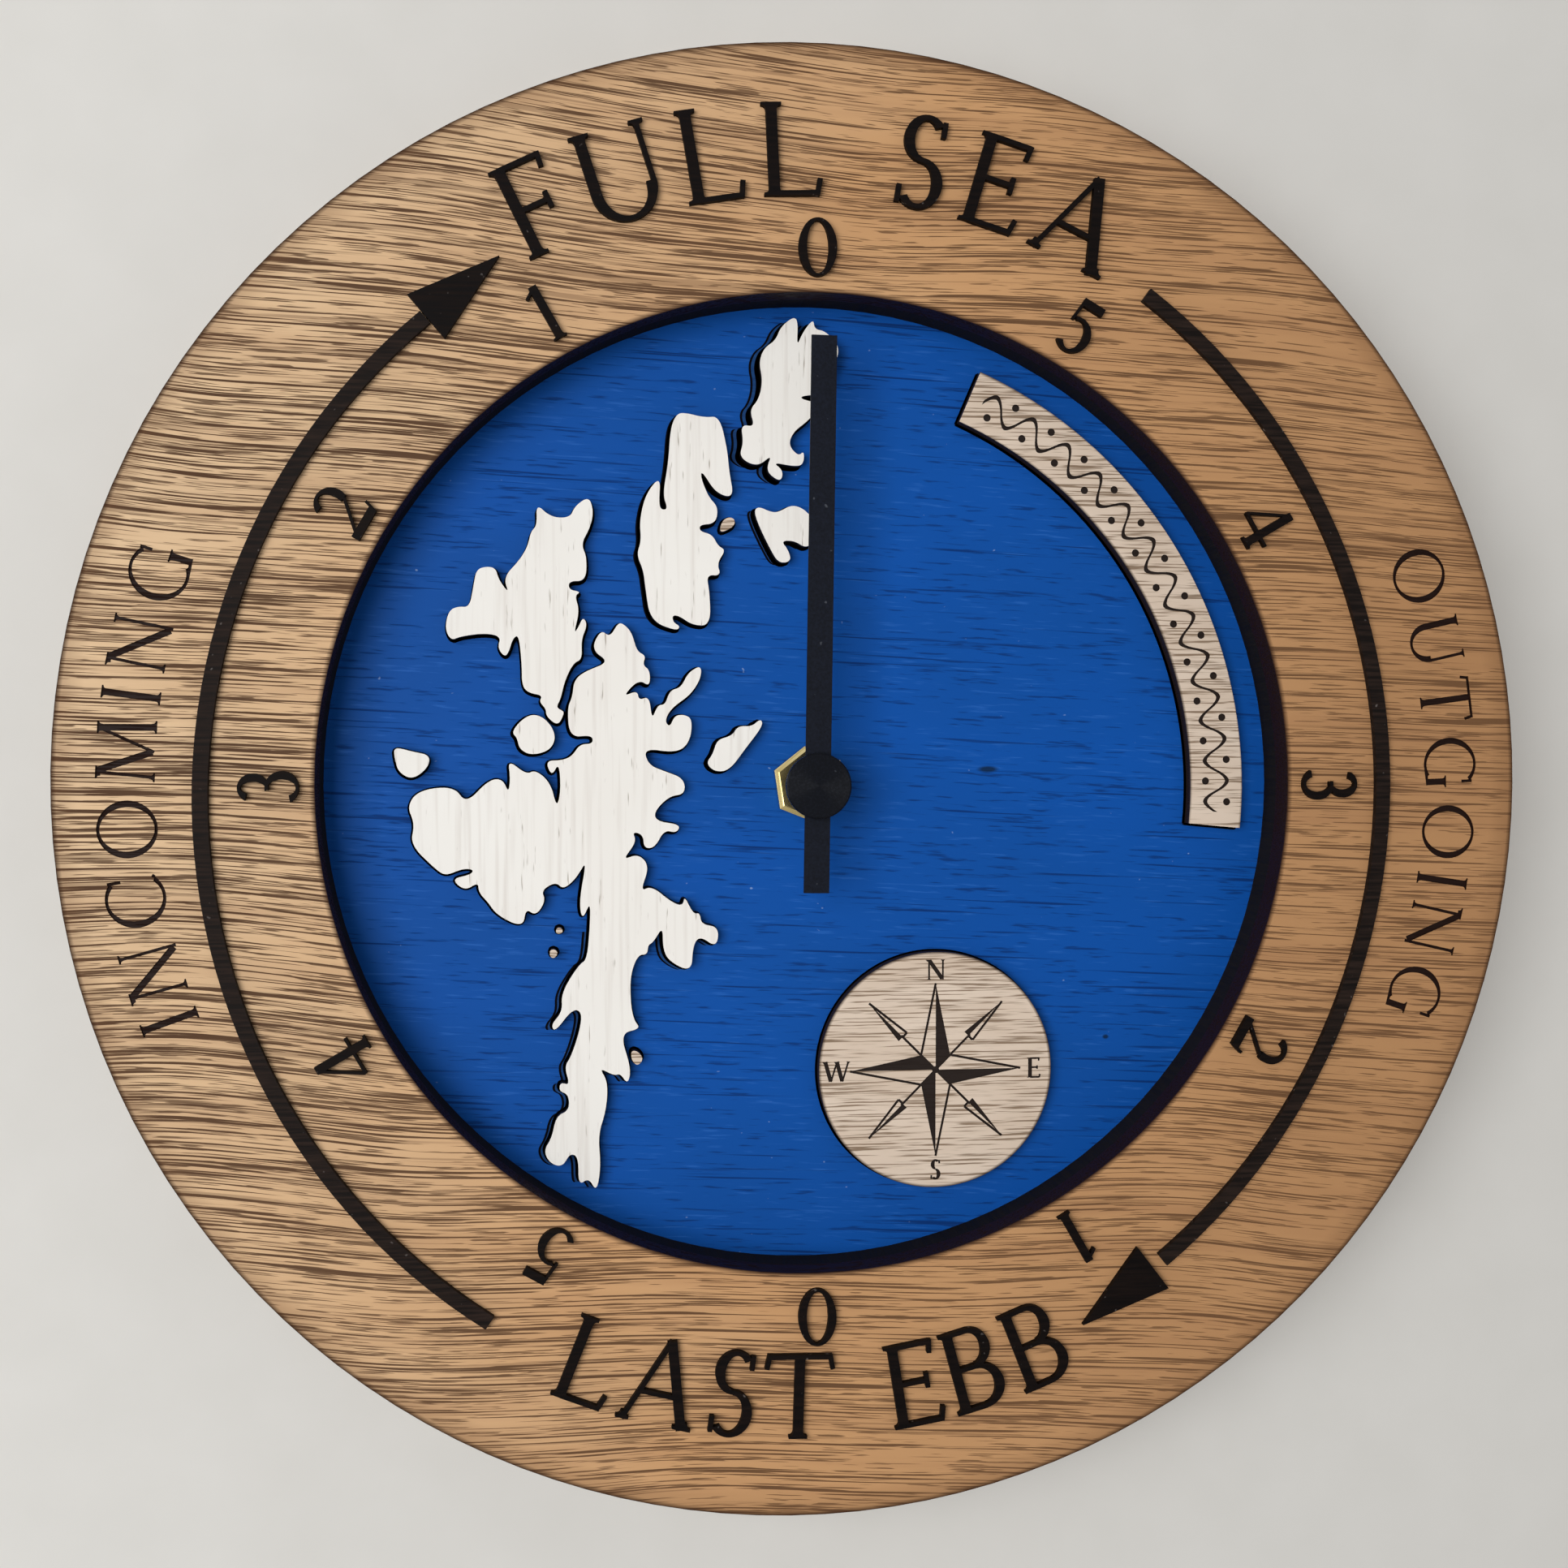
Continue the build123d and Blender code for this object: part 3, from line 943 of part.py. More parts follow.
rotor_post_shares = [(0.18, -0.42), (0.15, 0.51)]
plate_post_spots = [
    (left_post_right_share * case_width, works_low + share * (works_high - works_low))
    for share in left_post_up_shares
]
for right, up in rotor_post_shares:
    plate_post_spots.append((rotor_axis[0] + right * core_length, rotor_axis[1] + up * core_length))
core_ends = [rotor_axis[1] - (core_length - core_width) / 2, rotor_axis[1] + (core_length - core_width) / 2]

# Movement case: a moulded box, open at the back, with a wall over the battery bay and posts for the works
with BuildPart() as movement_case:
    with BuildSketch(front_plane(case_rear, 0, case_middle_up)):
        RectangleRounded(case_width, case_height, case_corner)
    extrude(amount=case_depth)
    with BuildSketch(front_plane(case_rear, 0, (works_low + works_high) / 2)):
        Rectangle(case_inside, works_high - works_low)
    extrude(amount=case_inner - case_rear, mode=Mode.SUBTRACT)
    with BuildSketch(front_plane(case_rear, 0, (bay_top + case_bottom + case_wall) / 2)):
        Rectangle(case_inside, bay_top - case_bottom - case_wall)
    extrude(amount=case_inner - case_rear, mode=Mode.SUBTRACT)
    for spot in plate_post_spots:
        with BuildSketch(front_plane(gear_plate_front, *spot)):
            Circle(post_diameter / 2)
        extrude(amount=case_inner - gear_plate_front)
    for end in core_ends:
        with BuildSketch(front_plane(stator_front, coil_right, end)):
            Circle(post_diameter / 2)
        extrude(amount=case_inner - stator_front)
    for axis in (third_axis, second_axis, first_axis, rotor_axis):
        with BuildSketch(front_plane(case_inner, *axis)):
            Circle(gear_arbor_diameter / 2 + running_clearance)
        extrude(amount=pivot_depth, mode=Mode.SUBTRACT)
    with BuildSketch(front_plane(case_inner)):
        Circle(bush_diameter / 2)
    extrude(amount=case_wall, mode=Mode.SUBTRACT)
save(movement_case, "movement_case")

# Gear plate: the rear bearing of the train, on the posts of the case
knob_stem_hole = knob_stem_diameter / 2 + running_clearance
plate_rights = [spot[0] for spot in plate_post_spots]
plate_ups = [spot[1] for spot in plate_post_spots] + [knob_axis[1] - knob_stem_hole]
plate_low = (min(plate_rights) - gear_plate_margin, min(plate_ups) - gear_plate_margin)
plate_high = (max(plate_rights) + gear_plate_margin, max(plate_ups) + gear_plate_margin)
with BuildPart() as gear_plate:
    with BuildSketch(front_plane(gear_plate_back)):
        with Locations(((plate_low[0] + plate_high[0]) / 2, (plate_low[1] + plate_high[1]) / 2)):
            Rectangle(plate_high[0] - plate_low[0], plate_high[1] - plate_low[1])
        for axis in (third_axis, second_axis, first_axis, rotor_axis):
            with Locations(axis):
                Circle(gear_arbor_diameter / 2 + running_clearance, mode=Mode.SUBTRACT)
        with Locations(knob_axis):
            Circle(knob_stem_hole, mode=Mode.SUBTRACT)
    extrude(amount=gear_plate_thickness)
save(gear_plate, "gear_plate")

# Stator: the motor's iron, round the magnet and up both ends of the coil's core
stator_hole = magnet_diameter / 2 + stator_hole_gap
with BuildPart() as stator:
    with BuildSketch(front_plane(stator_back)):
        with Locations(rotor_axis):
            Circle(stator_hole + stator_rim)
        for end in core_ends:
            stroke(rotor_axis, (coil_right, end), core_width)
            with Locations((coil_right, end)):
                Circle(core_width / 2)
        with Locations((coil_right, rotor_axis[1])):
            Rectangle(core_width, core_length)
        with Locations(rotor_axis):
            Circle(stator_hole, mode=Mode.SUBTRACT)
    extrude(amount=stator_thickness)
save(stator, "stator")

# Coil: fine wire wound on the stator's core, modelled as one sleeve
with BuildPart() as coil:
    coil_height = (stator_back + stator_front) / 2
    with BuildSketch(upright_plane(coil_right, coil_height, rotor_axis[1] - coil_length / 2)):
        Circle(coil_diameter / 2)
        Rectangle(core_width, stator_thickness, mode=Mode.SUBTRACT)
    extrude(amount=coil_length)
save(coil, "coil")

# Circuit board on the front wall of the case, with its chip and its quartz crystal
circuit_right = circuit_width / 2 - case_inside / 2
circuit_up = case_middle_up + circuit_length / 4
circuit_back = case_inner - circuit_thickness
with BuildPart() as circuit_board:
    with BuildSketch(front_plane(circuit_back, circuit_right, circuit_up)):
        Rectangle(circuit_width, circuit_length)
    extrude(amount=circuit_thickness)
save(circuit_board, "circuit_board")

with BuildPart() as chip:
    with BuildSketch(front_plane(circuit_back - chip_height, circuit_right, circuit_up + circuit_length / 4)):
        Circle(chip_diameter / 2)
    extrude(amount=chip_height)
save(chip, "chip")

with BuildPart() as quartz_crystal:
    crystal_height = circuit_back - crystal_diameter / 2
    with BuildSketch(upright_plane(circuit_right, crystal_height, circuit_up - circuit_length / 4)):
        Circle(crystal_diameter / 2)
    extrude(amount=crystal_length)
save(quartz_crystal, "quartz_crystal")

# Setting knob: a ribbed disc in the back of the cover, whose pinion turns the tide wheel
knob_back = case_rear - cover_thickness - knob_gap - knob_thickness
knob_pinion_back = tide_wheel_back - pinion_overlap
with BuildPart() as setting_knob:
    with BuildSketch(front_plane(knob_back, *knob_axis)):
        Circle(knob_diameter / 2)
        with PolarLocations(knob_diameter / 2, knob_grip_count):
            Circle(knob_grip_depth, mode=Mode.SUBTRACT)
    extrude(amount=knob_thickness)
    with BuildSketch(front_plane(knob_back + knob_thickness, *knob_axis)):
        Circle(knob_stem_diameter / 2)
    extrude(amount=knob_pinion_back - knob_back - knob_thickness)
    with BuildSketch(front_plane(knob_pinion_back, *knob_axis)):
        gear_outline(knob_teeth, meshed_angle(knob_direction, third_direction, tide_teeth, knob_teeth))
    extrude(amount=pinion_length)
save(setting_knob, "setting_knob")

# Movement cover: closes the works and leaves the battery bay open
with BuildPart() as movement_cover:
    with BuildSketch(front_plane(case_rear - cover_thickness, 0, case_middle_up)):
        RectangleRounded(case_width, case_height, case_corner)
        bay_edge = bay_top - case_middle_up
        with Locations((0, (bay_edge - case_height / 2) / 2)):
            Rectangle(case_width, bay_edge + case_height / 2, mode=Mode.SUBTRACT)
    extrude(amount=cover_thickness)
    with BuildSketch(front_plane(case_rear - cover_thickness, *knob_axis)):
        Circle(knob_stem_diameter / 2 + knob_hole_clearance)
    extrude(amount=cover_thickness, mode=Mode.SUBTRACT)
save(movement_cover, "movement_cover")

# Battery: one cylindrical cell, between a flat contact and a bent one
battery_start = case_inside / 2 - contact_thickness - battery_nub_length - battery_length


def cell_plane(right):
    """A plane square to the battery's length, on its axis."""
    middle = (right, -battery_height, battery_up - hanger_radius)
    return Plane(origin=middle, x_dir=(0, -1, 0), z_dir=(1, 0, 0))


with BuildPart() as battery:
    with BuildSketch(cell_plane(battery_start)):
        Circle(battery_diameter / 2)
    extrude(amount=battery_length)
    with BuildSketch(cell_plane(battery_start + battery_length)):
        Circle(battery_nub_diameter / 2)
    extrude(amount=battery_nub_length)
save(battery, "battery")

with BuildPart() as flat_contact:
    with BuildSketch(cell_plane(case_inside / 2 - contact_thickness)):
        Rectangle(contact_width, contact_width)
    extrude(amount=contact_thickness)
save(flat_contact, "flat_contact")

# Bent contact: a leaf that bows from the end wall to the flat end of the cell
with BuildPart() as bent_contact:
    with BuildSketch(front_plane(battery_height - contact_width / 2, -case_inside / 2, battery_up)):
        with BuildLine():
            outer = ThreePointArc((0, contact_width / 2), (contact_bow, 0), (0, -contact_width / 2))
            inner = ThreePointArc(
                (0, contact_width / 2 - contact_thickness),
                (contact_bow - contact_thickness, 0),
                (0, contact_thickness - contact_width / 2),
            )
            Line(outer @ 0, inner @ 0)
            Line(outer @ 1, inner @ 1)
        make_face()
    extrude(amount=contact_width)
save(bent_contact, "bent_contact")
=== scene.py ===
# %% [markdown]
# # A wooden tide clock
#
# This lesson dresses a finished clock model for a photograph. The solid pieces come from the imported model,
# at their true size and place. Here they get their finishes, a few pieces are modelled more finely,
# and a wall, a floor, two lamps and a camera are set up round them.

# %% Load the clock
import bpy
import json
from math import atan2, cos, hypot, pi, radians, sin
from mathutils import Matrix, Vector


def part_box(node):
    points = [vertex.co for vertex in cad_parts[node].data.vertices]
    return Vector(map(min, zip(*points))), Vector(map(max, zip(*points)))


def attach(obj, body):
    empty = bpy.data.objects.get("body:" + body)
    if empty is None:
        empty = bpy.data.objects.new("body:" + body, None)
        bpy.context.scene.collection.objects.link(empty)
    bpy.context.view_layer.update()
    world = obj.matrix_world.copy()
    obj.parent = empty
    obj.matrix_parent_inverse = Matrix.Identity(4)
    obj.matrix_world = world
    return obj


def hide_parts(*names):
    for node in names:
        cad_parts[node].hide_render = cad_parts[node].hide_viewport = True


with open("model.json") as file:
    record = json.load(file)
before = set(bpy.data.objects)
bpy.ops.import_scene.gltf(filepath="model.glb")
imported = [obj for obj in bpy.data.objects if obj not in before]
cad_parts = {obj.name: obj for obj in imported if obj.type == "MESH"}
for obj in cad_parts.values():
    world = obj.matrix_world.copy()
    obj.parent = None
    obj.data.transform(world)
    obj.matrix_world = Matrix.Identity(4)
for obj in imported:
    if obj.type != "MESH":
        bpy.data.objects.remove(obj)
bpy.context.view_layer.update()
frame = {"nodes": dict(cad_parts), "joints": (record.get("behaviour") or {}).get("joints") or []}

# %% [markdown]
# ## Places to work from
#
# The clock hangs on a wall that is the plane y = 0, and its face looks along -Y. Every depth that a finish
# needs, such as the height of the oak face or of the painted dial, is read from the model's own boxes,
# so the finishes still fit if the clock is made thicker.

# %% Measure the faces
dial_low, dial_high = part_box("dial_board")
clock_axis = (dial_low + dial_high) / 2
clock_radius = (dial_high.x - dial_low.x) / 2
ring_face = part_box("front_ring")[0].y
relief_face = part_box("main_island")[0].y
dial_face = dial_low.y


def reach_from_axis(node):
    """The least and the greatest distance of a node's corners from the axis of the clock."""
    corners = [corner.co - clock_axis for corner in frame["nodes"][node].data.vertices]
    reaches = [hypot(corner.x, corner.z) for corner in corners]
    return min(reaches), max(reaches)


opening_radius = reach_from_axis("front_ring")[0]
print("clock radius", round(clock_radius, 4), "opening radius", round(opening_radius, 4))

# %% [markdown]
# ## Tools for the finishes
#
# Colours are written as the hex values that a paint chart or a photograph gives. Blender mixes light in linear
# values, so one function converts them. A second one adds a node, sets its properties and fills its sockets,
# and a third starts a new material, so that each finish below reads as a short list of nodes.

# %% Colour and node helpers
def linear(hex_colour):
    """Turns an sRGB hex value into the linear colour that nodes take."""
    channels = [int(hex_colour[place:place + 2], 16) / 255 for place in (1, 3, 5)]
    light = [share / 12.92 if share <= 0.04045 else ((share + 0.055) / 1.055) ** 2.4 for share in channels]
    return (*light, 1.0)


def add_node(tree, kind, inputs=None, **settings):
    """Adds a node. Settings are its properties, and inputs are its sockets as values or as links."""
    node = tree.nodes.new(kind)
    for name, value in settings.items():
        setattr(node, name, value)
    for socket, value in (inputs or {}).items():
        if isinstance(value, bpy.types.NodeSocket):
            tree.links.new(value, node.inputs[socket])
        else:
            node.inputs[socket].default_value = value
    return node


def new_material(name, specular=0.5):
    """Starts a material and returns it with its nodes, its shader and the object's own coordinates."""
    material = bpy.data.materials.new(name)
    material.use_nodes = True
    tree = material.node_tree
    place = add_node(tree, "ShaderNodeTexCoord").outputs["Object"]
    shader = tree.nodes["Principled BSDF"]
    shader.inputs["Specular IOR Level"].default_value = specular
    return material, tree, shader, place


def dress(material, *names):
    """Gives CAD nodes a finish through their own material slots."""
    for name in names:
        for slot in frame["nodes"][name].material_slots:
            slot.material = material
    print(material.name, "on", ", ".join(names))


print("helpers ready, black is", linear("#000000"))

# %% [markdown]
# ## Fibres
#
# Nearly every surface here is wood, and wood is drawn with long thin marks that all lie one way. A picture of
# wood would do it, but a noise that is stretched along the grain needs no picture and can be as fine as the real
# fibres. The function below takes the size of one mark along x, y and z, so the scale comes from a ruler.

# %% Stretched noise
def fibres(tree, place, mark, detail=2.0):
    """Noise whose marks have a given size along each axis, in metres."""
    stretched = add_node(tree, "ShaderNodeVectorMath", {0: place, 1: mark}, operation="DIVIDE")
    noise = add_node(tree, "ShaderNodeTexNoise", {"Vector": stretched.outputs[0], "Scale": 1.0, "Detail": detail})
    return noise.outputs["Fac"]


print("fibres ready")

# %% [markdown]
# ## The oak face
#
# The front ring is a board with a sanded oak veneer. Oak shows dark open pores, some 5 to 20 mm long and a third
# of a millimetre wide, a millimetre or two apart. They lie nearly level here, fall a little to the right, and sway.
# Three stretched noises give the long pores, the short pores and the faint lines of each year's growth. A broad
# one crowds them a little into bands, and they thin out towards the right.

# %% Oak grain
oak, tree, shader, place = new_material("sanded_oak_veneer", specular=0.1)
grain_fall = radians(-3)
sway_mark = Vector((0.11, 0.11, 0.11))
sway_height = 0.014
turned = add_node(tree, "ShaderNodeMapping", {"Vector": place, "Rotation": (0, grain_fall, 0)}).outputs[0]
sway = add_node(tree, "ShaderNodeCombineXYZ", {"Z": fibres(tree, place, sway_mark, detail=1.0)}).outputs[0]
grain = add_node(tree, "ShaderNodeVectorMath", {0: sway, 1: (0, 0, sway_height), 2: turned},
                 operation="MULTIPLY_ADD").outputs[0]

long_pore = Vector((0.028, 0.001, 0.00036))
short_pore = Vector((0.009, 0.001, 0.0003))
year_line = Vector((0.07, 0.001, 0.0006))
growth_band = Vector((0.14, 0.01, 0.009))
bands = fibres(tree, grain, growth_band, detail=1.0)
crowding = add_node(tree, "ShaderNodeMapRange", {"Value": bands, "From Min": 0.3, "From Max": 0.7,
                                                 "To Min": -0.025, "To Max": 0.025}).outputs[0]
sides = add_node(tree, "ShaderNodeSeparateXYZ", {0: place})
thinning = add_node(tree, "ShaderNodeMapRange", {"Value": sides.outputs["X"], "From Min": -clock_radius,
                                                 "From Max": clock_radius, "To Min": 0.02, "To Max": -0.02}).outputs[0]
crowding = add_node(tree, "ShaderNodeMath", {0: crowding, 1: thinning}, operation="ADD").outputs[0]
pores = None
for mark, start, end, depth in ((long_pore, 0.575, 0.615, 1.0), (short_pore, 0.61, 0.65, 0.85),
                                (year_line, 0.61, 0.66, 0.4)):
    crowded = add_node(tree, "ShaderNodeMath", {0: fibres(tree, grain, mark, detail=1.0), 1: crowding}, operation="ADD")
    layer = add_node(tree, "ShaderNodeMapRange", {"Value": crowded.outputs[0], "From Min": start, "From Max": end,
                                                  "To Max": depth}).outputs[0]
    pores = add_node(tree, "ShaderNodeMath", {0: pores or 0.0, 1: layer}, operation="MAXIMUM").outputs[0]
print("long oak pores", [round(side * 1000, 2) for side in long_pore], "mm")

# %% [markdown]
# ## Oak colours
#
# The veneer is pale on the left, honey coloured at the top and browner towards the right and the foot, where its
# pores also show less. This is partly the veneer's own tone and partly painted shade away from the lamp on the left.
# The tone therefore follows the place on the ring, with a slow noise that keeps its border from being straight.

# %% Oak tone and pores
tone_mark = Vector((0.06, 0.06, 0.025))
tone_sway = 0.1
low_share = -0.2
# Browner and darker towards the right and the foot: partly the veneer's tone, partly painted shade away from the lamp.
lower = add_node(tree, "ShaderNodeMath", {0: sides.outputs["Z"], 1: low_share, 2: sides.outputs["X"]},
                 operation="MULTIPLY_ADD").outputs[0]
tone_and_shade_place = add_node(tree, "ShaderNodeMath", {0: fibres(tree, grain, tone_mark), 1: tone_sway, 2: lower},
                      operation="MULTIPLY_ADD").outputs[0]
tone_middle = tone_sway / 2 + low_share * clock_axis.z
to_honey = add_node(tree, "ShaderNodeMapRange", {"Value": tone_and_shade_place, "From Min": tone_middle - clock_radius,
                                                 "From Max": tone_middle}).outputs[0]
to_brown_and_shade = add_node(tree, "ShaderNodeMapRange", {"Value": tone_and_shade_place, "From Min": tone_middle,
                                                 "From Max": tone_middle + clock_radius}).outputs[0]
honey = add_node(tree, "ShaderNodeMix", {0: to_honey, 6: linear("#DABA94"), 7: linear("#C6986B")},
                 data_type="RGBA").outputs[2]
brown = add_node(tree, "ShaderNodeMix", {0: to_brown_and_shade, 6: honey, 7: linear("#AE8259")}, data_type="RGBA").outputs[2]
streak = Vector((0.08, 0.01, 0.004))
streaks = add_node(tree, "ShaderNodeMapRange", {"Value": fibres(tree, grain, streak, detail=3.0), "From Min": 0.45,
                                                "From Max": 0.75, "To Max": 0.3}).outputs[0]
wood = add_node(tree, "ShaderNodeMix", {0: streaks, 6: brown, 7: linear("#94694A")}, data_type="RGBA").outputs[2]
pore_strength = add_node(tree, "ShaderNodeMapRange", {"Value": tone_and_shade_place, "From Min": tone_middle - clock_radius,
                                                      "From Max": tone_middle + clock_radius,
                                                      "To Min": 0.95, "To Max": 0.7}).outputs[0]
pore_share = add_node(tree, "ShaderNodeMath", {0: pores, 1: pore_strength}, operation="MULTIPLY").outputs[0]
pored = add_node(tree, "ShaderNodeMix", {0: pore_share, 6: wood, 7: linear("#43291A")}, data_type="RGBA").outputs[2]
print("oak runs from pale on the left to brown on the right")

# %% [markdown]
# ## Char and smoke on the oak
#
# A laser cut the ring and burnt the two side words. Whatever lies below the sanded face was cut by it, so char
# can follow depth: the further below the face, the blacker. Smoke also browned a thin rim of the face beside both
# round edges. A wider brown band at the outer edge is partly smoke and partly painted shade, standing in for the
# soft dark halos round the letters. The distance from the axis gives the rims and the band.

# %% Oak edges
from_axis = add_node(tree, "ShaderNodeVectorMath", {0: place, 1: clock_axis}, operation="SUBTRACT")
flat = add_node(tree, "ShaderNodeVectorMath", {0: from_axis.outputs[0], 1: (1, 0, 1)}, operation="MULTIPLY")
radius = add_node(tree, "ShaderNodeVectorMath", {0: flat.outputs[0]}, operation="LENGTH").outputs["Value"]
smoke_width = 0.001
haze_width = 0.005
# The wider band at the outer edge is partly smoke and partly painted shade.
smoke_and_shade_haze = add_node(tree, "ShaderNodeMapRange", {"Value": radius, "From Min": clock_radius - haze_width,
                                             "From Max": clock_radius, "To Max": 0.4}).outputs[0]
smoke_and_shade_hazed = add_node(tree, "ShaderNodeMix", {0: smoke_and_shade_haze, 6: pored, 7: linear("#6B4A30")}, data_type="RGBA").outputs[2]
outer_smoke = add_node(tree, "ShaderNodeMapRange",
                       {"Value": radius, "From Min": clock_radius - smoke_width, "From Max": clock_radius})
inner_smoke = add_node(tree, "ShaderNodeMapRange",
                       {"Value": radius, "From Min": opening_radius + smoke_width, "From Max": opening_radius})
smoke = add_node(tree, "ShaderNodeMath", {0: outer_smoke.outputs[0], 1: inner_smoke.outputs[0]}, operation="MAXIMUM")
smoked = add_node(tree, "ShaderNodeMix", {0: smoke.outputs[0], 6: smoke_and_shade_hazed, 7: linear("#3A2416")},
                  data_type="RGBA").outputs[2]
char_start = 0.00004
char_end = 0.00025
char = add_node(tree, "ShaderNodeMapRange",
                {"Value": sides.outputs["Y"], "From Min": ring_face + char_start, "From Max": ring_face + char_end})
oak_colour = add_node(tree, "ShaderNodeMix", {0: char.outputs[0], 6: smoked, 7: linear("#1D0E09")},
                      data_type="RGBA").outputs[2]
tree.links.new(oak_colour, shader.inputs["Base Color"])

groove_depth = 0.00012
groove = add_node(tree, "ShaderNodeBump", {"Height": pores, "Strength": 0.6, "Distance": groove_depth}, invert=True)
tree.links.new(groove.outputs[0], shader.inputs["Normal"])
gloss = add_node(tree, "ShaderNodeMapRange", {"Value": pores, "To Min": 0.5, "To Max": 0.75})
tree.links.new(gloss.outputs[0], shader.inputs["Roughness"])
dress(oak, "front_ring")

# %% [markdown]
# ## The black ring under the oak
#
# The second ring makes the recess deep. Its cut wall is burnt black all round, and the laser's pulses leave
# fine upright ridges in it. A wave would be too regular, so a noise that is stretched through the thickness
# of the board makes the ridges. The real ones are finer and would not show, so they are drawn at 0.6 mm.

# %% Charred wall
charred, tree, shader, place = new_material("laser_charred_board", specular=0.1)
pulse_ridge = Vector((0.0006, 0.012, 0.0006))
ridges = fibres(tree, place, pulse_ridge)
soot = add_node(tree, "ShaderNodeMix", {0: ridges, 6: linear("#08080B"), 7: linear("#1B1715")}, data_type="RGBA")
tree.links.new(soot.outputs[2], shader.inputs["Base Color"])
ridge_depth = 0.0001
ridge_bump = add_node(tree, "ShaderNodeBump", {"Height": ridges, "Strength": 0.5, "Distance": ridge_depth})
tree.links.new(ridge_bump.outputs[0], shader.inputs["Normal"])
soot_gloss = add_node(tree, "ShaderNodeMapRange", {"Value": ridges, "To Min": 0.6, "To Max": 0.9})
tree.links.new(soot_gloss.outputs[0], shader.inputs["Roughness"])
dress(charred, "spacer_ring")

# %% [markdown]
# ## The blue dial
#
# The dial is a veneered board painted with a thin matt blue that sinks into the open grain. The grain still shows,
# as many short dark lines, a few long ones and paler ridges between them. Each is a stretched noise with its own
# threshold: high values are open grain, low values are ridges that the sandpaper has touched. The paler ridges are
# partly sanded wood and partly a painted highlight along the grain.

# %% Blue paint over grain
blue, tree, shader, place = new_material("blue_painted_veneer", specular=0.08)
turned = add_node(tree, "ShaderNodeMapping", {"Vector": place, "Rotation": (0, grain_fall, 0)}).outputs[0]
cloud = Vector((0.06, 0.06, 0.03))
short_line = Vector((0.008, 0.001, 0.0006))
long_line = Vector((0.045, 0.001, 0.0008))
coat = add_node(tree, "ShaderNodeMix", {0: fibres(tree, turned, cloud), 6: linear("#0C53AD"), 7: linear("#0C4A95")},
                data_type="RGBA").outputs[2]
short_noise = fibres(tree, turned, short_line)
# Paler ridges: partly sanded wood, partly a painted highlight.
sanded_ridge_highlight = add_node(tree, "ShaderNodeMapRange", {"Value": short_noise, "From Min": 0.38, "From Max": 0.28,
                                              "To Max": 0.5}).outputs[0]
painted = add_node(tree, "ShaderNodeMix", {0: sanded_ridge_highlight, 6: coat, 7: linear("#2A66BA")}, data_type="RGBA").outputs[2]
short_lines = add_node(tree, "ShaderNodeMapRange", {"Value": short_noise, "From Min": 0.61, "From Max": 0.7,
                                                    "To Max": 0.75}).outputs[0]
long_lines = add_node(tree, "ShaderNodeMapRange", {"Value": fibres(tree, turned, long_line), "From Min": 0.64,
                                                   "From Max": 0.7, "To Max": 0.9}).outputs[0]
lines = add_node(tree, "ShaderNodeMath", {0: short_lines, 1: long_lines}, operation="MAXIMUM").outputs[0]
painted = add_node(tree, "ShaderNodeMix", {0: lines, 6: painted, 7: linear("#062F6C")}, data_type="RGBA").outputs[2]
print("blue grain lines", [round(side * 1000, 2) for side in short_line], "mm")

# %% [markdown]
# ## Marks on the dial
#
# A small knot and a dark speck show right of the middle, and some lint lies in the paint. The first two are soft
# ovals at measured places. The edge of the board is charred and its back is bare wood, so these two
# are told from the painted face by the way the surface faces.

# %% Knot, speck, lint, edge and back of the dial
knot_place = clock_axis + Vector((0.0386, 0, 0.0031))
knot_half = Vector((0.0022, 0.01, 0.0007))
speck_place = clock_axis + Vector((0.0647, 0, -0.0547))
speck_half = Vector((0.0007, 0.01, 0.0005))
for spot, half in ((knot_place, knot_half), (speck_place, speck_half)):
    reach = add_node(tree, "ShaderNodeVectorMath", {0: place, 1: (spot.x, dial_face, spot.z)}, operation="SUBTRACT")
    scaled = add_node(tree, "ShaderNodeVectorMath", {0: reach.outputs[0], 1: half}, operation="DIVIDE")
    away = add_node(tree, "ShaderNodeVectorMath", {0: scaled.outputs[0]}, operation="LENGTH")
    inside = add_node(tree, "ShaderNodeMapRange", {"Value": away.outputs["Value"], "From Min": 1.2, "From Max": 0.6})
    painted = add_node(tree, "ShaderNodeMix", {0: inside.outputs[0], 6: painted, 7: linear("#0B2A50")},
                       data_type="RGBA").outputs[2]
lint_mark = Vector((0.0016, 0.0016, 0.0011))
lint = add_node(tree, "ShaderNodeMapRange", {"Value": fibres(tree, place, lint_mark, detail=1.0), "From Min": 0.8,
                                             "From Max": 0.86, "To Max": 0.5}).outputs[0]
painted = add_node(tree, "ShaderNodeMix", {0: lint, 6: painted, 7: linear("#9DB6DA")}, data_type="RGBA").outputs[2]

facing = add_node(tree, "ShaderNodeSeparateXYZ", {0: add_node(tree, "ShaderNodeTexCoord").outputs["Normal"]})
edge = add_node(tree, "ShaderNodeMapRange", {"Value": facing.outputs["Y"], "From Min": -0.7, "From Max": -0.5})
edged = add_node(tree, "ShaderNodeMix", {0: edge.outputs[0], 6: painted, 7: linear("#17100D")},
                 data_type="RGBA").outputs[2]
back = add_node(tree, "ShaderNodeMapRange", {"Value": facing.outputs["Y"], "From Min": 0.5, "From Max": 0.7})
bare = add_node(tree, "ShaderNodeMix", {0: lines, 6: linear("#C9A47A"), 7: linear("#8A6542")},
                data_type="RGBA").outputs[2]
dial_colour = add_node(tree, "ShaderNodeMix", {0: back.outputs[0], 6: edged, 7: bare},
                       data_type="RGBA").outputs[2]
tree.links.new(dial_colour, shader.inputs["Base Color"])
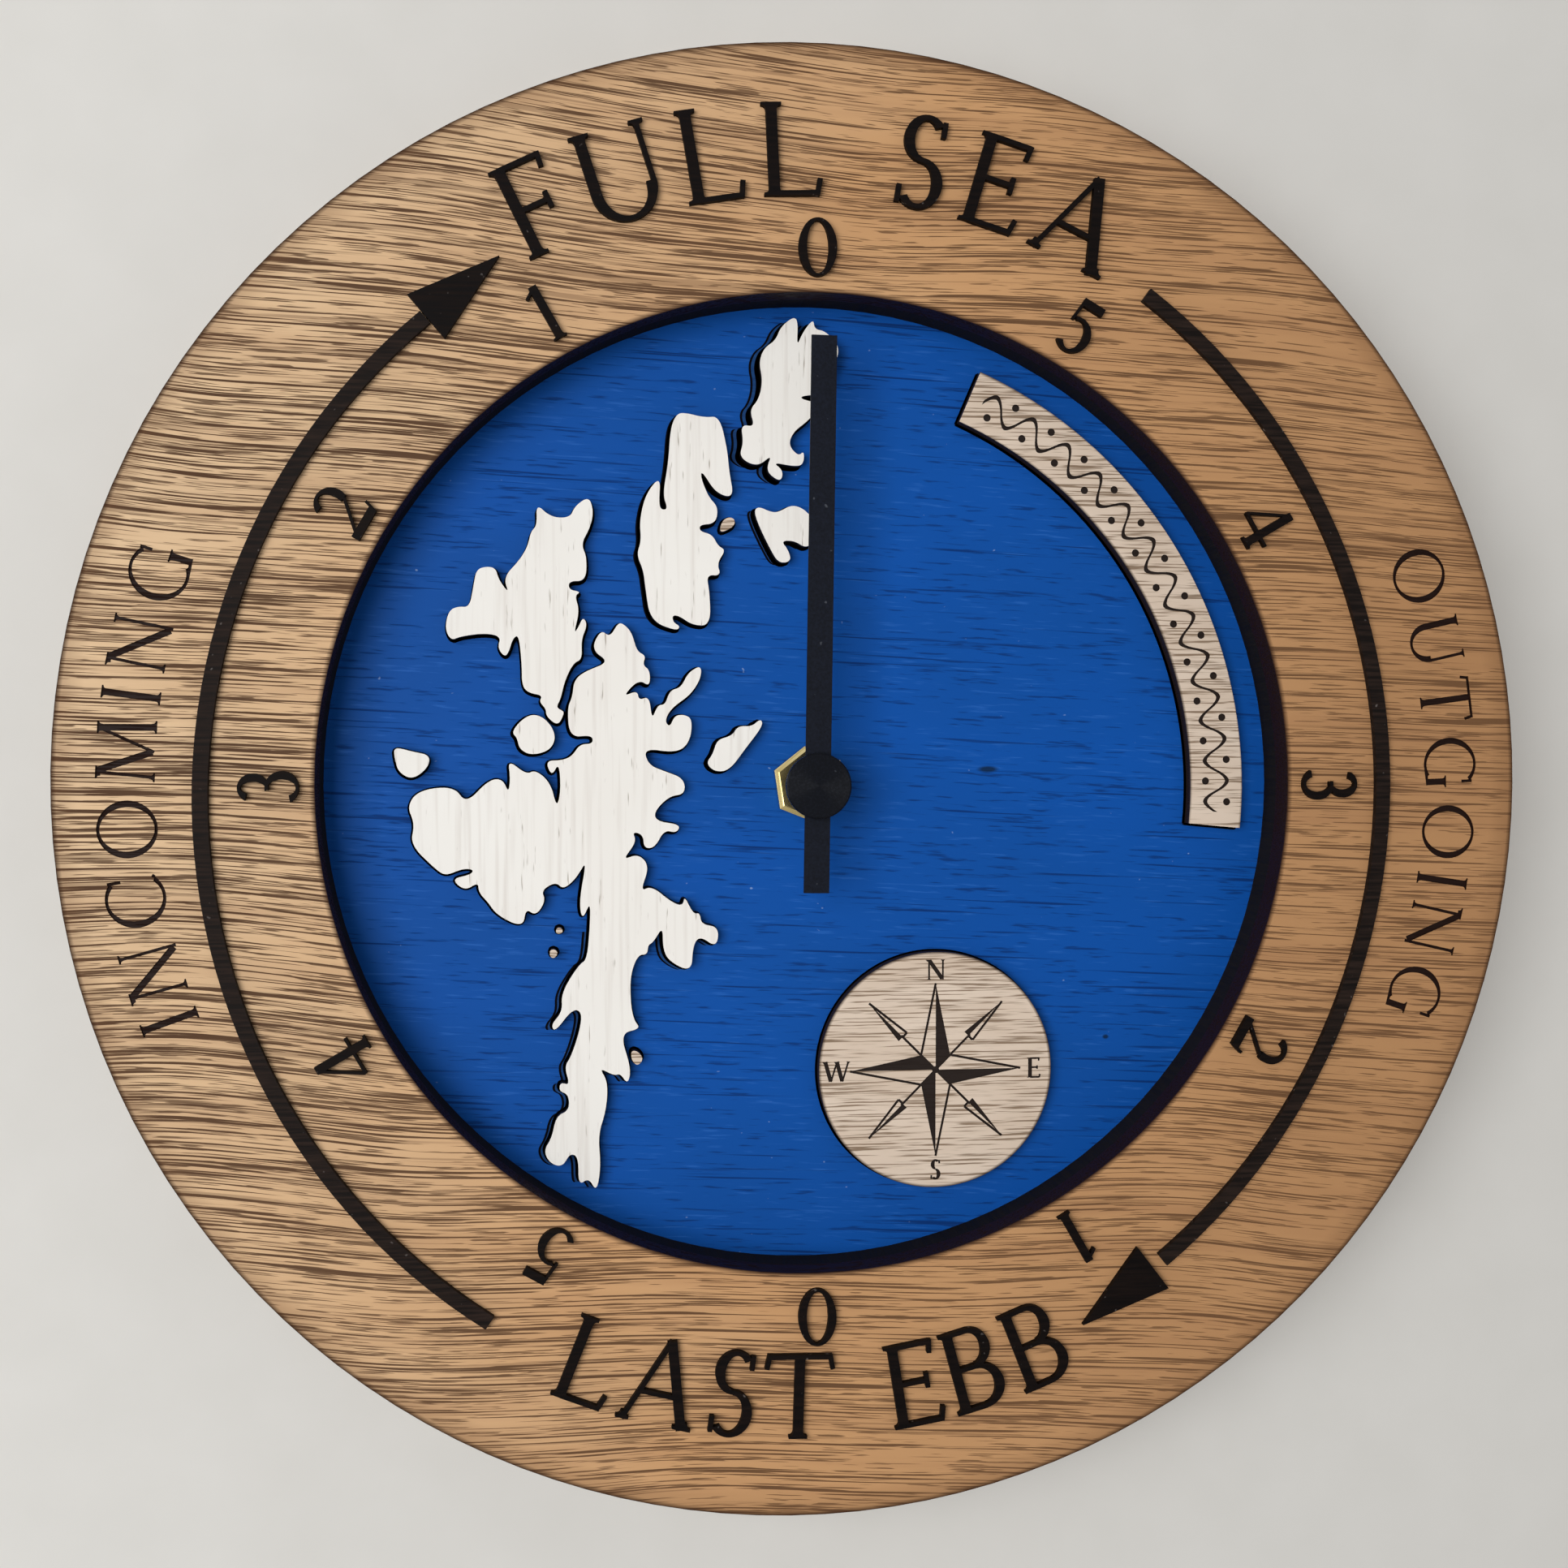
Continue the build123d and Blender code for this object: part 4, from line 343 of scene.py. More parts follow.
paint_groove = 0.0001
dial_bump = add_node(tree, "ShaderNodeBump", {"Height": lines, "Strength": 0.5, "Distance": paint_groove}, invert=True)
tree.links.new(dial_bump.outputs[0], shader.inputs["Normal"])
coat_gloss = add_node(tree, "ShaderNodeMapRange", {"Value": lines, "To Min": 0.48, "To Max": 0.65})
tree.links.new(coat_gloss.outputs[0], shader.inputs["Roughness"])
dress(blue, "dial_board")

# %% [markdown]
# ## The white islands
#
# The islands are thin plywood, painted white before the laser cut them out, so their faces are clean and
# their edges are charred. The grain of this board runs upright. It shows as faint streaks in the paint and
# a few fine dark flecks where the paint did not fill a pore.

# %% White paint
white, tree, shader, place = new_material("white_painted_plywood", specular=0.2)
fleck = Vector((0.0005, 0.001, 0.007))
brush_streak = Vector((0.0011, 0.01, 0.03))
wash = Vector((0.03, 0.03, 0.03))
chalk = add_node(tree, "ShaderNodeMix", {0: fibres(tree, place, wash), 6: linear("#F6F4EF"), 7: linear("#EBE6DF")},
                 data_type="RGBA").outputs[2]
streaks = add_node(tree, "ShaderNodeMapRange", {"Value": fibres(tree, place, brush_streak), "From Min": 0.5,
                                                "From Max": 0.75, "To Max": 0.45}).outputs[0]
streaked = add_node(tree, "ShaderNodeMix", {0: streaks, 6: chalk, 7: linear("#D6CEC6")}, data_type="RGBA").outputs[2]
flecks = add_node(tree, "ShaderNodeMapRange", {"Value": fibres(tree, place, fleck), "From Min": 0.68,
                                               "From Max": 0.76, "To Max": 0.7}).outputs[0]
flecked = add_node(tree, "ShaderNodeMix", {0: flecks, 6: streaked, 7: linear("#8F8072")}, data_type="RGBA").outputs[2]
height = add_node(tree, "ShaderNodeSeparateXYZ", {0: place}).outputs["Y"]
burn = add_node(tree, "ShaderNodeMapRange",
                {"Value": height, "From Min": relief_face + char_start, "From Max": relief_face + char_end})
island_colour = add_node(tree, "ShaderNodeMix", {0: burn.outputs[0], 6: flecked, 7: linear("#0D0A0A")},
                         data_type="RGBA").outputs[2]
tree.links.new(island_colour, shader.inputs["Base Color"])
fleck_bump = add_node(tree, "ShaderNodeBump", {"Height": flecks, "Strength": 0.4, "Distance": paint_groove}, invert=True)
tree.links.new(fleck_bump.outputs[0], shader.inputs["Normal"])
chalk_gloss = add_node(tree, "ShaderNodeMapRange", {"Value": streaks, "To Min": 0.5, "To Max": 0.7})
tree.links.new(chalk_gloss.outputs[0], shader.inputs["Roughness"])
dress(white, "main_island", "north_island", "middle_island", "west_island", "islets")

# %% [markdown]
# ## The pale compass, plaque and bare islets
#
# These are cut from a thin pale board and left bare. The rose and the wave are engraved by the laser, so they are
# dark wherever the surface lies below the face, and smoke has browned the rims. The disc, the plaque and
# the chips differ only in where their rims lie, so one loop makes all three from a middle and a pair of radii.

# %% Pale bare wood
compass_low, compass_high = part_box("compass_disc")
compass_middle = (compass_low + compass_high) / 2
compass_radius = (compass_high.x - compass_low.x) / 2
plaque_radii = reach_from_axis("arc_plaque")
vein = Vector((0.012, 0.001, 0.0003))
pale_cloud = Vector((0.02, 0.02, 0.006))
rim_smoke = 0.0006
for name, middle, (inner_rim, outer_rim), pieces in (
    ("bare_pale_veneer_disc", compass_middle, (0, compass_radius), ("compass_disc",)),
    ("bare_pale_veneer_strip", clock_axis, plaque_radii, ("arc_plaque",)),
    ("bare_pale_veneer_chips", clock_axis, (0, opening_radius), ("bare_islets",)),
):
    pale, tree, shader, place = new_material(name, specular=0.2)
    veins = add_node(tree, "ShaderNodeMapRange", {"Value": fibres(tree, place, vein), "From Min": 0.53,
                                                  "From Max": 0.62, "To Max": 0.85}).outputs[0]
    bare = add_node(tree, "ShaderNodeMix", {0: fibres(tree, place, pale_cloud), 6: linear("#E6D5C4"),
                                            7: linear("#CBB5A0")}, data_type="RGBA").outputs[2]
    veined = add_node(tree, "ShaderNodeMix", {0: veins, 6: bare, 7: linear("#776049")}, data_type="RGBA").outputs[2]
    reach = add_node(tree, "ShaderNodeVectorMath", {0: place, 1: middle}, operation="SUBTRACT")
    level = add_node(tree, "ShaderNodeVectorMath", {0: reach.outputs[0], 1: (1, 0, 1)}, operation="MULTIPLY")
    radius = add_node(tree, "ShaderNodeVectorMath", {0: level.outputs[0]}, operation="LENGTH").outputs["Value"]
    outer = add_node(tree, "ShaderNodeMapRange", {"Value": radius, "From Min": outer_rim - rim_smoke,
                                                  "From Max": outer_rim}).outputs[0]
    inner = add_node(tree, "ShaderNodeMapRange", {"Value": radius, "From Min": inner_rim + rim_smoke,
                                                  "From Max": inner_rim}).outputs[0]
    rims = add_node(tree, "ShaderNodeMath", {0: outer, 1: inner}, operation="MAXIMUM").outputs[0]
    smoked = add_node(tree, "ShaderNodeMix", {0: rims, 6: veined, 7: linear("#2A1B12")}, data_type="RGBA").outputs[2]
    height = add_node(tree, "ShaderNodeSeparateXYZ", {0: place}).outputs["Y"]
    burn = add_node(tree, "ShaderNodeMapRange",
                    {"Value": height, "From Min": relief_face + char_start, "From Max": relief_face + char_end})
    pale_colour = add_node(tree, "ShaderNodeMix", {0: burn.outputs[0], 6: smoked, 7: linear("#1D120D")},
                           data_type="RGBA").outputs[2]
    tree.links.new(pale_colour, shader.inputs["Base Color"])
    vein_bump = add_node(tree, "ShaderNodeBump", {"Height": veins, "Strength": 0.4, "Distance": paint_groove},
                         invert=True)
    tree.links.new(vein_bump.outputs[0], shader.inputs["Normal"])
    vein_gloss = add_node(tree, "ShaderNodeMapRange", {"Value": veins, "To Min": 0.55, "To Max": 0.75})
    tree.links.new(vein_gloss.outputs[0], shader.inputs["Roughness"])
    dress(pale, *pieces)

# %% [markdown]
# ## Black lettering and arrows
#
# The letters, numerals and arrows are thin wood, stained black on the face and charred at the cut.
# The two long strips took the stain less well and stay a little brown. A little fibre and some specks of dust
# keep the black from looking like plastic.

# %% Black stained wood
stain_fibre = Vector((0.012, 0.001, 0.0007))
dust_mark = Vector((0.0013, 0.0013, 0.0013))
for name, dark, worn, pieces in (
    ("black_stained_wood", "#060303", "#150D0A",
     ("high_water_letters", "low_water_letters", "numerals", "rising_arrowhead", "falling_arrowhead")),
    ("brown_black_stained_wood", "#120D0B", "#2B201B", ("rising_strip", "falling_strip")),
):
    stain, tree, shader, place = new_material(name, specular=0.07)
    fibre = fibres(tree, place, stain_fibre, detail=3.0)
    thin = add_node(tree, "ShaderNodeMapRange", {"Value": fibre, "From Min": 0.4, "From Max": 0.7})
    black = add_node(tree, "ShaderNodeMix", {0: thin.outputs[0], 6: linear(dark), 7: linear(worn)},
                     data_type="RGBA").outputs[2]
    dust = add_node(tree, "ShaderNodeMapRange", {"Value": fibres(tree, place, dust_mark, detail=1.0),
                                                 "From Min": 0.72, "From Max": 0.8, "To Max": 0.4})
    dusty = add_node(tree, "ShaderNodeMix", {0: dust.outputs[0], 6: black, 7: linear("#8C8480")},
                     data_type="RGBA").outputs[2]
    tree.links.new(dusty, shader.inputs["Base Color"])
    fibre_bump = add_node(tree, "ShaderNodeBump", {"Height": fibre, "Strength": 0.4, "Distance": paint_groove})
    tree.links.new(fibre_bump.outputs[0], shader.inputs["Normal"])
    stain_gloss = add_node(tree, "ShaderNodeMapRange", {"Value": fibre, "To Min": 0.45, "To Max": 0.75})
    tree.links.new(stain_gloss.outputs[0], shader.inputs["Roughness"])
    dress(stain, *pieces)

# %% [markdown]
# ## The plywood frame behind
#
# The back frame is thick birch plywood. Its faces are a plain pale veneer, and its cut walls show the layers,
# turned crosswise one after the other and darkened by the saw. The layers are bands of depth from the wall,
# and the way the surface faces chooses between bands and veneer.

# %% Birch plywood
birch, tree, shader, place = new_material("sawn_birch_plywood", specular=0.25)
layer_pair = 0.0028
layer_start_share = 0.46
layer_end_share = 0.54
fine_fibre = Vector((0.012, 0.01, 0.0009))
across_fibre = Vector((0.0008, 0.004, 0.0008))
fine = fibres(tree, place, fine_fibre, detail=3.0)
depth = add_node(tree, "ShaderNodeSeparateXYZ", {0: place}).outputs["Y"]
in_pair = add_node(tree, "ShaderNodeMath", {0: depth, 1: layer_pair}, operation="PINGPONG").outputs[0]
dark_layer = add_node(tree, "ShaderNodeMapRange", {"Value": in_pair, "From Min": layer_pair * layer_start_share,
                                                   "From Max": layer_pair * layer_end_share}).outputs[0]
layers = add_node(tree, "ShaderNodeMix", {0: dark_layer, 6: linear("#CBA97C"), 7: linear("#8F6A45")},
                  data_type="RGBA").outputs[2]
across = fibres(tree, place, across_fibre)
saw_share = add_node(tree, "ShaderNodeMapRange", {"Value": across, "From Min": 0.5, "From Max": 0.75,
                                                  "To Max": 0.5}).outputs[0]
sawn = add_node(tree, "ShaderNodeMix", {0: saw_share, 6: layers, 7: linear("#6B4B2E")}, data_type="RGBA").outputs[2]
veneer = add_node(tree, "ShaderNodeMix", {0: fine, 6: linear("#DCC19A"), 7: linear("#BF9B6E")},
                  data_type="RGBA").outputs[2]
facing = add_node(tree, "ShaderNodeSeparateXYZ", {0: add_node(tree, "ShaderNodeTexCoord").outputs["Normal"]})
level = add_node(tree, "ShaderNodeMath", {0: facing.outputs["Y"]}, operation="ABSOLUTE").outputs[0]
on_face = add_node(tree, "ShaderNodeMapRange", {"Value": level, "From Min": 0.6, "From Max": 0.8}).outputs[0]
birch_colour = add_node(tree, "ShaderNodeMix", {0: on_face, 6: sawn, 7: veneer}, data_type="RGBA").outputs[2]
tree.links.new(birch_colour, shader.inputs["Base Color"])
birch_bump = add_node(tree, "ShaderNodeBump", {"Height": fine, "Strength": 0.4, "Distance": paint_groove})
tree.links.new(birch_bump.outputs[0], shader.inputs["Normal"])
birch_gloss = add_node(tree, "ShaderNodeMapRange", {"Value": fine, "To Min": 0.5, "To Max": 0.8})
tree.links.new(birch_gloss.outputs[0], shader.inputs["Roughness"])
dress(birch, "back_frame")

# %% [markdown]
# ## Metals
#
# The metals differ in colour, in how their surface was made and in how sharply they reflect. A turned or rolled
# piece has marks that run one way, a plated one has a soft bloom. Each row below gives the two tones of
# a metal, the size of its marks, and its least and greatest roughness, and one loop makes them all.
# Tool marks are really a few hundredths of a millimetre wide. They are drawn a little coarser, so that they show.

# %% Metal finishes
rolled_mark = Vector((0.012, 0.0004, 0.0004))
turned_mark = Vector((0.01, 0.0003, 0.01))
bloom_mark = Vector((0.003, 0.003, 0.003))
blast_mark = Vector((0.0005, 0.0005, 0.0005))
tool_depth = 0.00003
metal_finishes = {
    # Warm and bright, dulled a little by handling
    "machined_brass": ("#F0DEA6", "#C2AC6C", turned_mark, 0.14, 0.26, ("hex_nut", "brass_washer")),
    # Grey with a soft milky bloom
    "zinc_plated_steel": ("#C3C6C9", "#8E9398", bloom_mark, 0.3, 0.5, ("keyhole_plate", "keyhole_screws")),
    # Bright along its length
    "ground_steel": ("#C9CACB", "#8D8F92", turned_mark, 0.2, 0.35, ("hand_arbor",)),
    # Dark iron grey with rolling marks
    "rolled_silicon_steel": ("#8A8C90", "#5A5C61", rolled_mark, 0.35, 0.55, ("stator",)),
    # Smooth and slightly yellow
    "nickel_plated_spring_steel": ("#CFCAC0", "#9C968A", rolled_mark, 0.2, 0.38, ("flat_contact", "bent_contact")),
    # A small drawn can, with lines along its length
    "drawn_steel_can": ("#C6C8CA", "#8B8E93", bloom_mark, 0.22, 0.4, ("quartz_crystal",)),
    # A dull dark grey sinter
    "sintered_ferrite": ("#3A3836", "#222120", blast_mark, 0.5, 0.7, ("rotor_magnet",)),
}
metals = {}
for name, (bright, dull, mark, smooth, rough, pieces) in metal_finishes.items():
    metals[name], tree, shader, place = new_material(name)
    shader.inputs["Metallic"].default_value = 1.0
    marks = fibres(tree, place, mark, detail=3.0)
    tone = add_node(tree, "ShaderNodeMapRange", {"Value": marks, "From Min": 0.3, "From Max": 0.7}).outputs[0]
    colour = add_node(tree, "ShaderNodeMix", {0: tone, 6: linear(bright), 7: linear(dull)}, data_type="RGBA")
    tree.links.new(colour.outputs[2], shader.inputs["Base Color"])
    gloss = add_node(tree, "ShaderNodeMapRange", {"Value": tone, "To Min": smooth, "To Max": rough})
    tree.links.new(gloss.outputs[0], shader.inputs["Roughness"])
    bump = add_node(tree, "ShaderNodeBump", {"Height": marks, "Strength": 0.3, "Distance": tool_depth})
    tree.links.new(bump.outputs[0], shader.inputs["Normal"])
    dress(metals[name], *pieces)

# %% [markdown]
# ## The hand and its cap
#
# The hand is sheet aluminium, blasted and anodised black, so it is matt and a little blue. Its cap was turned
# before it was anodised. The rings left by the tool catch the light in two faint wedges, which a shader with
# a highlight that is stretched outwards from the middle gives.

# %% Anodised aluminium
for name, dark, pale, rough, shine, ring_stretch, pieces in (
    ("black_anodised_aluminium", "#0D1018", "#151924", 0.5, 0.08, 0.0, ("tide_hand", "hand_boss")),
    ("turned_black_aluminium", "#080A10", "#0E1119", 0.26, 0.11, 0.85, ("hub_cap",)),
):
    anodised, tree, shader, place = new_material(name, specular=shine)
    grit = fibres(tree, place, blast_mark, detail=3.0)
    tone = add_node(tree, "ShaderNodeMapRange", {"Value": grit, "From Min": 0.3, "From Max": 0.7}).outputs[0]
    dyed = add_node(tree, "ShaderNodeMix", {0: tone, 6: linear(dark), 7: linear(pale)}, data_type="RGBA").outputs[2]
    dust = add_node(tree, "ShaderNodeMapRange", {"Value": fibres(tree, place, dust_mark, detail=1.0),
                                                 "From Min": 0.76, "From Max": 0.82, "To Max": 0.25}).outputs[0]
    dusty = add_node(tree, "ShaderNodeMix", {0: dust, 6: dyed, 7: linear("#7D828C")}, data_type="RGBA").outputs[2]
    tree.links.new(dusty, shader.inputs["Base Color"])
    gloss = add_node(tree, "ShaderNodeMapRange", {"Value": grit, "To Min": rough - 0.1, "To Max": rough + 0.1})
    tree.links.new(gloss.outputs[0], shader.inputs["Roughness"])
    bump = add_node(tree, "ShaderNodeBump", {"Height": grit, "Strength": 0.25, "Distance": tool_depth})
    tree.links.new(bump.outputs[0], shader.inputs["Normal"])
    shader.inputs["Anisotropic"].default_value = ring_stretch
    if ring_stretch:
        spoke = add_node(tree, "ShaderNodeVectorMath", {0: place, 1: clock_axis}, operation="SUBTRACT")
        outwards = add_node(tree, "ShaderNodeVectorTransform", {0: spoke.outputs[0]}, vector_type="VECTOR",
                            convert_from="OBJECT", convert_to="WORLD")
        tree.links.new(outwards.outputs[0], shader.inputs["Tangent"])
    dress(anodised, *pieces)

# %% [markdown]
# ## Plastics, rubber and resin
#
# The movement's case is black ABS from a spark-eroded mould, which gives it an even fine grain. Its wheels are white
# acetal, smooth and a little waxy. The rubber washer, the green board and the blob of resin on it follow the same
# recipe with other colours: two tones, a grain of a given size and a roughness that follows it.

# %% Moulded finishes
spark_grain = Vector((0.0006, 0.0006, 0.0006))
flow_mark = Vector((0.006, 0.006, 0.006))
weave_mark = Vector((0.0012, 0.0012, 0.0012))
grain_depth = 0.00006
moulded_finishes = {
    # Even matt grain that breaks up every reflection
    "spark_textured_abs": ("#17181A", "#232427", spark_grain, 0.5, 0.7, 0.4,
                           ("movement_case", "movement_cover", "setting_knob")),
    # Milky white, with faint flow marks from the gate
    "moulded_acetal": ("#ECEBE6", "#DAD9D2", flow_mark, 0.3, 0.42, 0.5,
                       ("tide_wheel", "third_wheel", "second_wheel", "first_wheel", "rotor_pinion", "gear_plate")),
    # Dull black with a pale bloom
    "moulded_rubber": ("#1A1A1A", "#2C2B2A", flow_mark, 0.75, 0.9, 0.3, ("rubber_washer",)),
    # Glossy green over a glass weave
    "solder_masked_board": ("#1E5B3A", "#2B7049", weave_mark, 0.25, 0.4, 0.5, ("circuit_board",)),
    # A dull black drop
    "cast_epoxy": ("#141414", "#202020", flow_mark, 0.3, 0.5, 0.4, ("chip",)),
}
moulded = {}
for name, (dark, pale, mark, smooth, rough, shine, pieces) in moulded_finishes.items():
    moulded[name], tree, shader, place = new_material(name, specular=shine)
    texture = fibres(tree, place, mark, detail=3.0)
    tone = add_node(tree, "ShaderNodeMapRange", {"Value": texture, "From Min": 0.3, "From Max": 0.7}).outputs[0]
    colour = add_node(tree, "ShaderNodeMix", {0: tone, 6: linear(dark), 7: linear(pale)}, data_type="RGBA")
    tree.links.new(colour.outputs[2], shader.inputs["Base Color"])
    gloss = add_node(tree, "ShaderNodeMapRange", {"Value": tone, "To Min": smooth, "To Max": rough})
    tree.links.new(gloss.outputs[0], shader.inputs["Roughness"])
    bump = add_node(tree, "ShaderNodeBump", {"Height": texture, "Strength": 0.35, "Distance": grain_depth})
    tree.links.new(bump.outputs[0], shader.inputs["Normal"])
    dress(moulded[name], *pieces)

# %% [markdown]
# ## The coil
#
# The motor's coil is thousands of turns of enamelled copper wire, finer than a hair. Modelled turns would be far too
# many, so the winding is a wave along the coil's length, drawn at a quarter of a millimetre so that it shows,
# with a noise that lets some turns lie unevenly. Its colour runs from dark in the grooves between the turns to bright
# on their crests, which is painted shade and painted highlight.

# %% Enamelled copper wire
copper, tree, shader, place = new_material("wound_enamelled_copper")
wire_pitch = 0.00025
slack_mark = Vector((0.002, 0.002, 0.0006))
along = add_node(tree, "ShaderNodeSeparateXYZ", {0: place}).outputs["Z"]
half_turn = add_node(tree, "ShaderNodeMath", {0: along, 1: wire_pitch}, operation="PINGPONG").outputs[0]
crest = add_node(tree, "ShaderNodeMapRange", {"Value": half_turn, "From Max": wire_pitch}).outputs[0]
slack = fibres(tree, place, slack_mark)
wound_relief_and_shade = add_node(tree, "ShaderNodeMath", {0: crest, 1: slack}, operation="MULTIPLY").outputs[0]
# Dark in the grooves between turns, bright on their crests: painted shade and painted highlight.
wire = add_node(tree, "ShaderNodeMix", {0: wound_relief_and_shade, 6: linear("#6E2F18"), 7: linear("#C9683A")}, data_type="RGBA")
tree.links.new(wire.outputs[2], shader.inputs["Base Color"])
wire_gloss = add_node(tree, "ShaderNodeMapRange", {"Value": slack, "To Min": 0.2, "To Max": 0.45})
tree.links.new(wire_gloss.outputs[0], shader.inputs["Roughness"])
wire_bump = add_node(tree, "ShaderNodeBump", {"Height": wound_relief_and_shade, "Strength": 0.7, "Distance": wire_pitch})
tree.links.new(wire_bump.outputs[0], shader.inputs["Normal"])
shader.inputs["Metallic"].default_value = 0.7
dress(copper, "coil")

# %% [markdown]
# ## Tools for modelling
#
# The next pieces are modelled with Blender's own operators, as by hand. An operator works on whatever is selected,
# so one helper selects a single object, and another selects faces by where they are and which way they look.

# %% Selection helpers
def only(piece):
    """Deselects everything else and makes one object active."""
    bpy.ops.object.select_all(action="DESELECT")
    piece.select_set(True)
    bpy.context.view_layer.objects.active = piece


def select_faces(piece, wanted):
    """In edit mode, selects the faces for which wanted(middle, normal) is true, and no others."""
    bpy.ops.mesh.select_mode(type="FACE")
    bpy.ops.mesh.select_all(action="DESELECT")
    bpy.ops.object.mode_set(mode="OBJECT")
    for face in piece.data.polygons:
        face.select = wanted(face.center, face.normal)
    bpy.ops.object.mode_set(mode="EDIT")


def apply_place(piece):
    """Puts an object's place and turn into its mesh, so that the object sits at the origin."""
    only(piece)
    bpy.ops.object.transform_apply(location=True, rotation=True, scale=True)


print("selection helpers ready")

# %% [markdown]
# ## Burnt edges, painted shadow and outlines round the relief
#
# The laser burnt the outline of each piece of the relief into the blue board, to show where it is glued. A black edge
# shows all round each piece, partly its charred wall and partly painted shadow at its foot. Some islands were glued
# a little to the right of their outlines, and there a thin burnt line and a band of darkened paint lie open on the
# left; the band is partly smoke and partly painted shadow. Both are made from copies of the piece's own front face.
# An inset would give a border of even width, but it tangles in the narrow bays. So the face is laid several times,
# each time moved a little another way, and what sticks out from under the piece is the border.

# %% Finishes of the outlines
# Near black for the burnt lines, and for the black edges, which are partly char and partly painted shadow.
burnt_line_and_shade, tree, shader, place = new_material("laser_burnt_line_and_shade", specular=0.05)
scorch = Vector((0.0008, 0.0008, 0.0008))
soot = add_node(tree, "ShaderNodeMix", {0: fibres(tree, place, scorch), 6: linear("#030307"), 7: linear("#0A0B12")},
                data_type="RGBA")
tree.links.new(soot.outputs[2], shader.inputs["Base Color"])
shader.inputs["Roughness"].default_value = 0.8

# Darkened blue beside the islands: partly smoke, partly painted shadow.
smoked_and_shaded_paint, tree, shader, place = new_material("smoked_and_shaded_blue_paint", specular=0.1)
smear_and_shade = add_node(tree, "ShaderNodeMix", {0: fibres(tree, place, short_line), 6: linear("#1C4C86"),
                                         7: linear("#0F2C58")}, data_type="RGBA")
tree.links.new(smear_and_shade.outputs[2], shader.inputs["Base Color"])
shader.inputs["Roughness"].default_value = 0.6
print("outline finishes ready")

# %% Faces laid on the board
outline_lift = 0.00002
weld = 0.00001


def face_on_board(name, source):
    """Copies the front face of a relief piece onto the board, and leaves it selected in edit mode."""
    sheet = bpy.data.objects.new(name, frame["nodes"][source].data.copy())
    bpy.context.scene.collection.objects.link(sheet)
    sheet.data.materials.clear()
    sheet.data.materials.append(burnt_line_and_shade)
    sheet.data.materials.append(smoked_and_shaded_paint)
    only(sheet)
    bpy.ops.object.mode_set(mode="EDIT")
    bpy.ops.mesh.select_all(action="SELECT")
    bpy.ops.mesh.remove_doubles(threshold=weld)
    select_faces(sheet, lambda middle, normal: normal.y > -0.9 or middle.y > relief_face + weld)
    bpy.ops.mesh.delete(type="FACE")
    bpy.ops.mesh.select_all(action="SELECT")
    bpy.ops.transform.translate(value=(0, dial_face - outline_lift - relief_face, 0))
    return sheet


def thicken(sheet):
    """Leaves edit mode, gives the laid faces a hair's thickness and lets them ride with the clock."""
    bpy.ops.object.mode_set(mode="OBJECT")
    for face in sheet.data.polygons:
        face.material_index = int(face.select)
    skin = sheet.modifiers.new("skin", "SOLIDIFY")
    skin.thickness = outline_lift
    bpy.ops.object.modifier_apply(modifier=skin.name)
    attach(sheet, "clock")
    print(sheet.name, len(sheet.data.polygons), "faces")


# %% Outlines left open
line_width = 0.0005
tail_top = clock_axis.z - 0.03
islet_edge = -0.012
far = -1.0
outline_rows = {
    "north_island": (Vector((-0.0021, 0, -0.0003)), Vector((far, 0, -far))),
    "islets": (Vector((-0.0014, 0, -0.0003)), Vector((islet_edge, 0, -far))),
    "middle_island": (Vector((-0.0009, 0, -0.0003)), Vector((far, 0, -far))),
    "main_island": (Vector((-0.0015, 0, -0.0006)), Vector((far, 0, tail_top))),
}
for source, (shift, corner) in outline_rows.items():
    outline = face_on_board(source + "_outline", source)
    bpy.ops.mesh.bisect(plane_co=corner, plane_no=(1, 0, 0), clear_inner=True)
    bpy.ops.mesh.select_all(action="SELECT")
    bpy.ops.mesh.bisect(plane_co=corner, plane_no=(0, 0, 1), clear_outer=True)
    bpy.ops.mesh.select_all(action="SELECT")
    bpy.ops.transform.translate(value=shift)
    bpy.ops.mesh.duplicate_move(TRANSFORM_OT_translate={"value": (line_width, -outline_lift, 0)})
    thicken(outline)

# %% Black edges all round
# A dark rim round each piece: partly its charred wall, partly painted shadow at its foot.
edge_width = 0.00045
edge_turns = 8
char_and_shade_edge_rows = {
    "north_island": Vector((-0.0005, 0, -0.0003)),
    "islets": Vector((-0.0003, 0, -0.0002)),
    "middle_island": Vector((-0.0002, 0, -0.0002)),
    "main_island": Vector((-0.0002, 0, -0.0002)),
    "west_island": Vector((0, 0, -0.0002)),
    "bare_islets": Vector((0, 0, 0)),
    "compass_disc": Vector((0, 0, -0.0001)),
    "arc_plaque": Vector((-0.0001, 0, -0.0001)),
}
edge_places = [edge_width * Vector((cos(turn * 2 * pi / edge_turns), 0, sin(turn * 2 * pi / edge_turns)))
               for turn in range(edge_turns)]
for source, shift in char_and_shade_edge_rows.items():
    black_edge_char_and_shade = face_on_board(source + "_edge", source)
    bpy.ops.transform.translate(value=shift + edge_places[0] - Vector((0, 2 * outline_lift, 0)))
    for last, here in zip(edge_places, edge_places[1:]):
        bpy.ops.mesh.duplicate_move(TRANSFORM_OT_translate={"value": here - last})
    bpy.ops.mesh.select_all(action="DESELECT")
    thicken(black_edge_char_and_shade)

# %% [markdown]
# ## The battery
#
# The movement runs on one dry cell. On the real one a printed sleeve is shrunk over a steel can and turns in
# over both rims, a nub stands on one end, and the other end is the bare can. A cylinder gets these
# by insetting and extruding its end faces. The sleeve here is plain, with a pale band at the end with the nub.

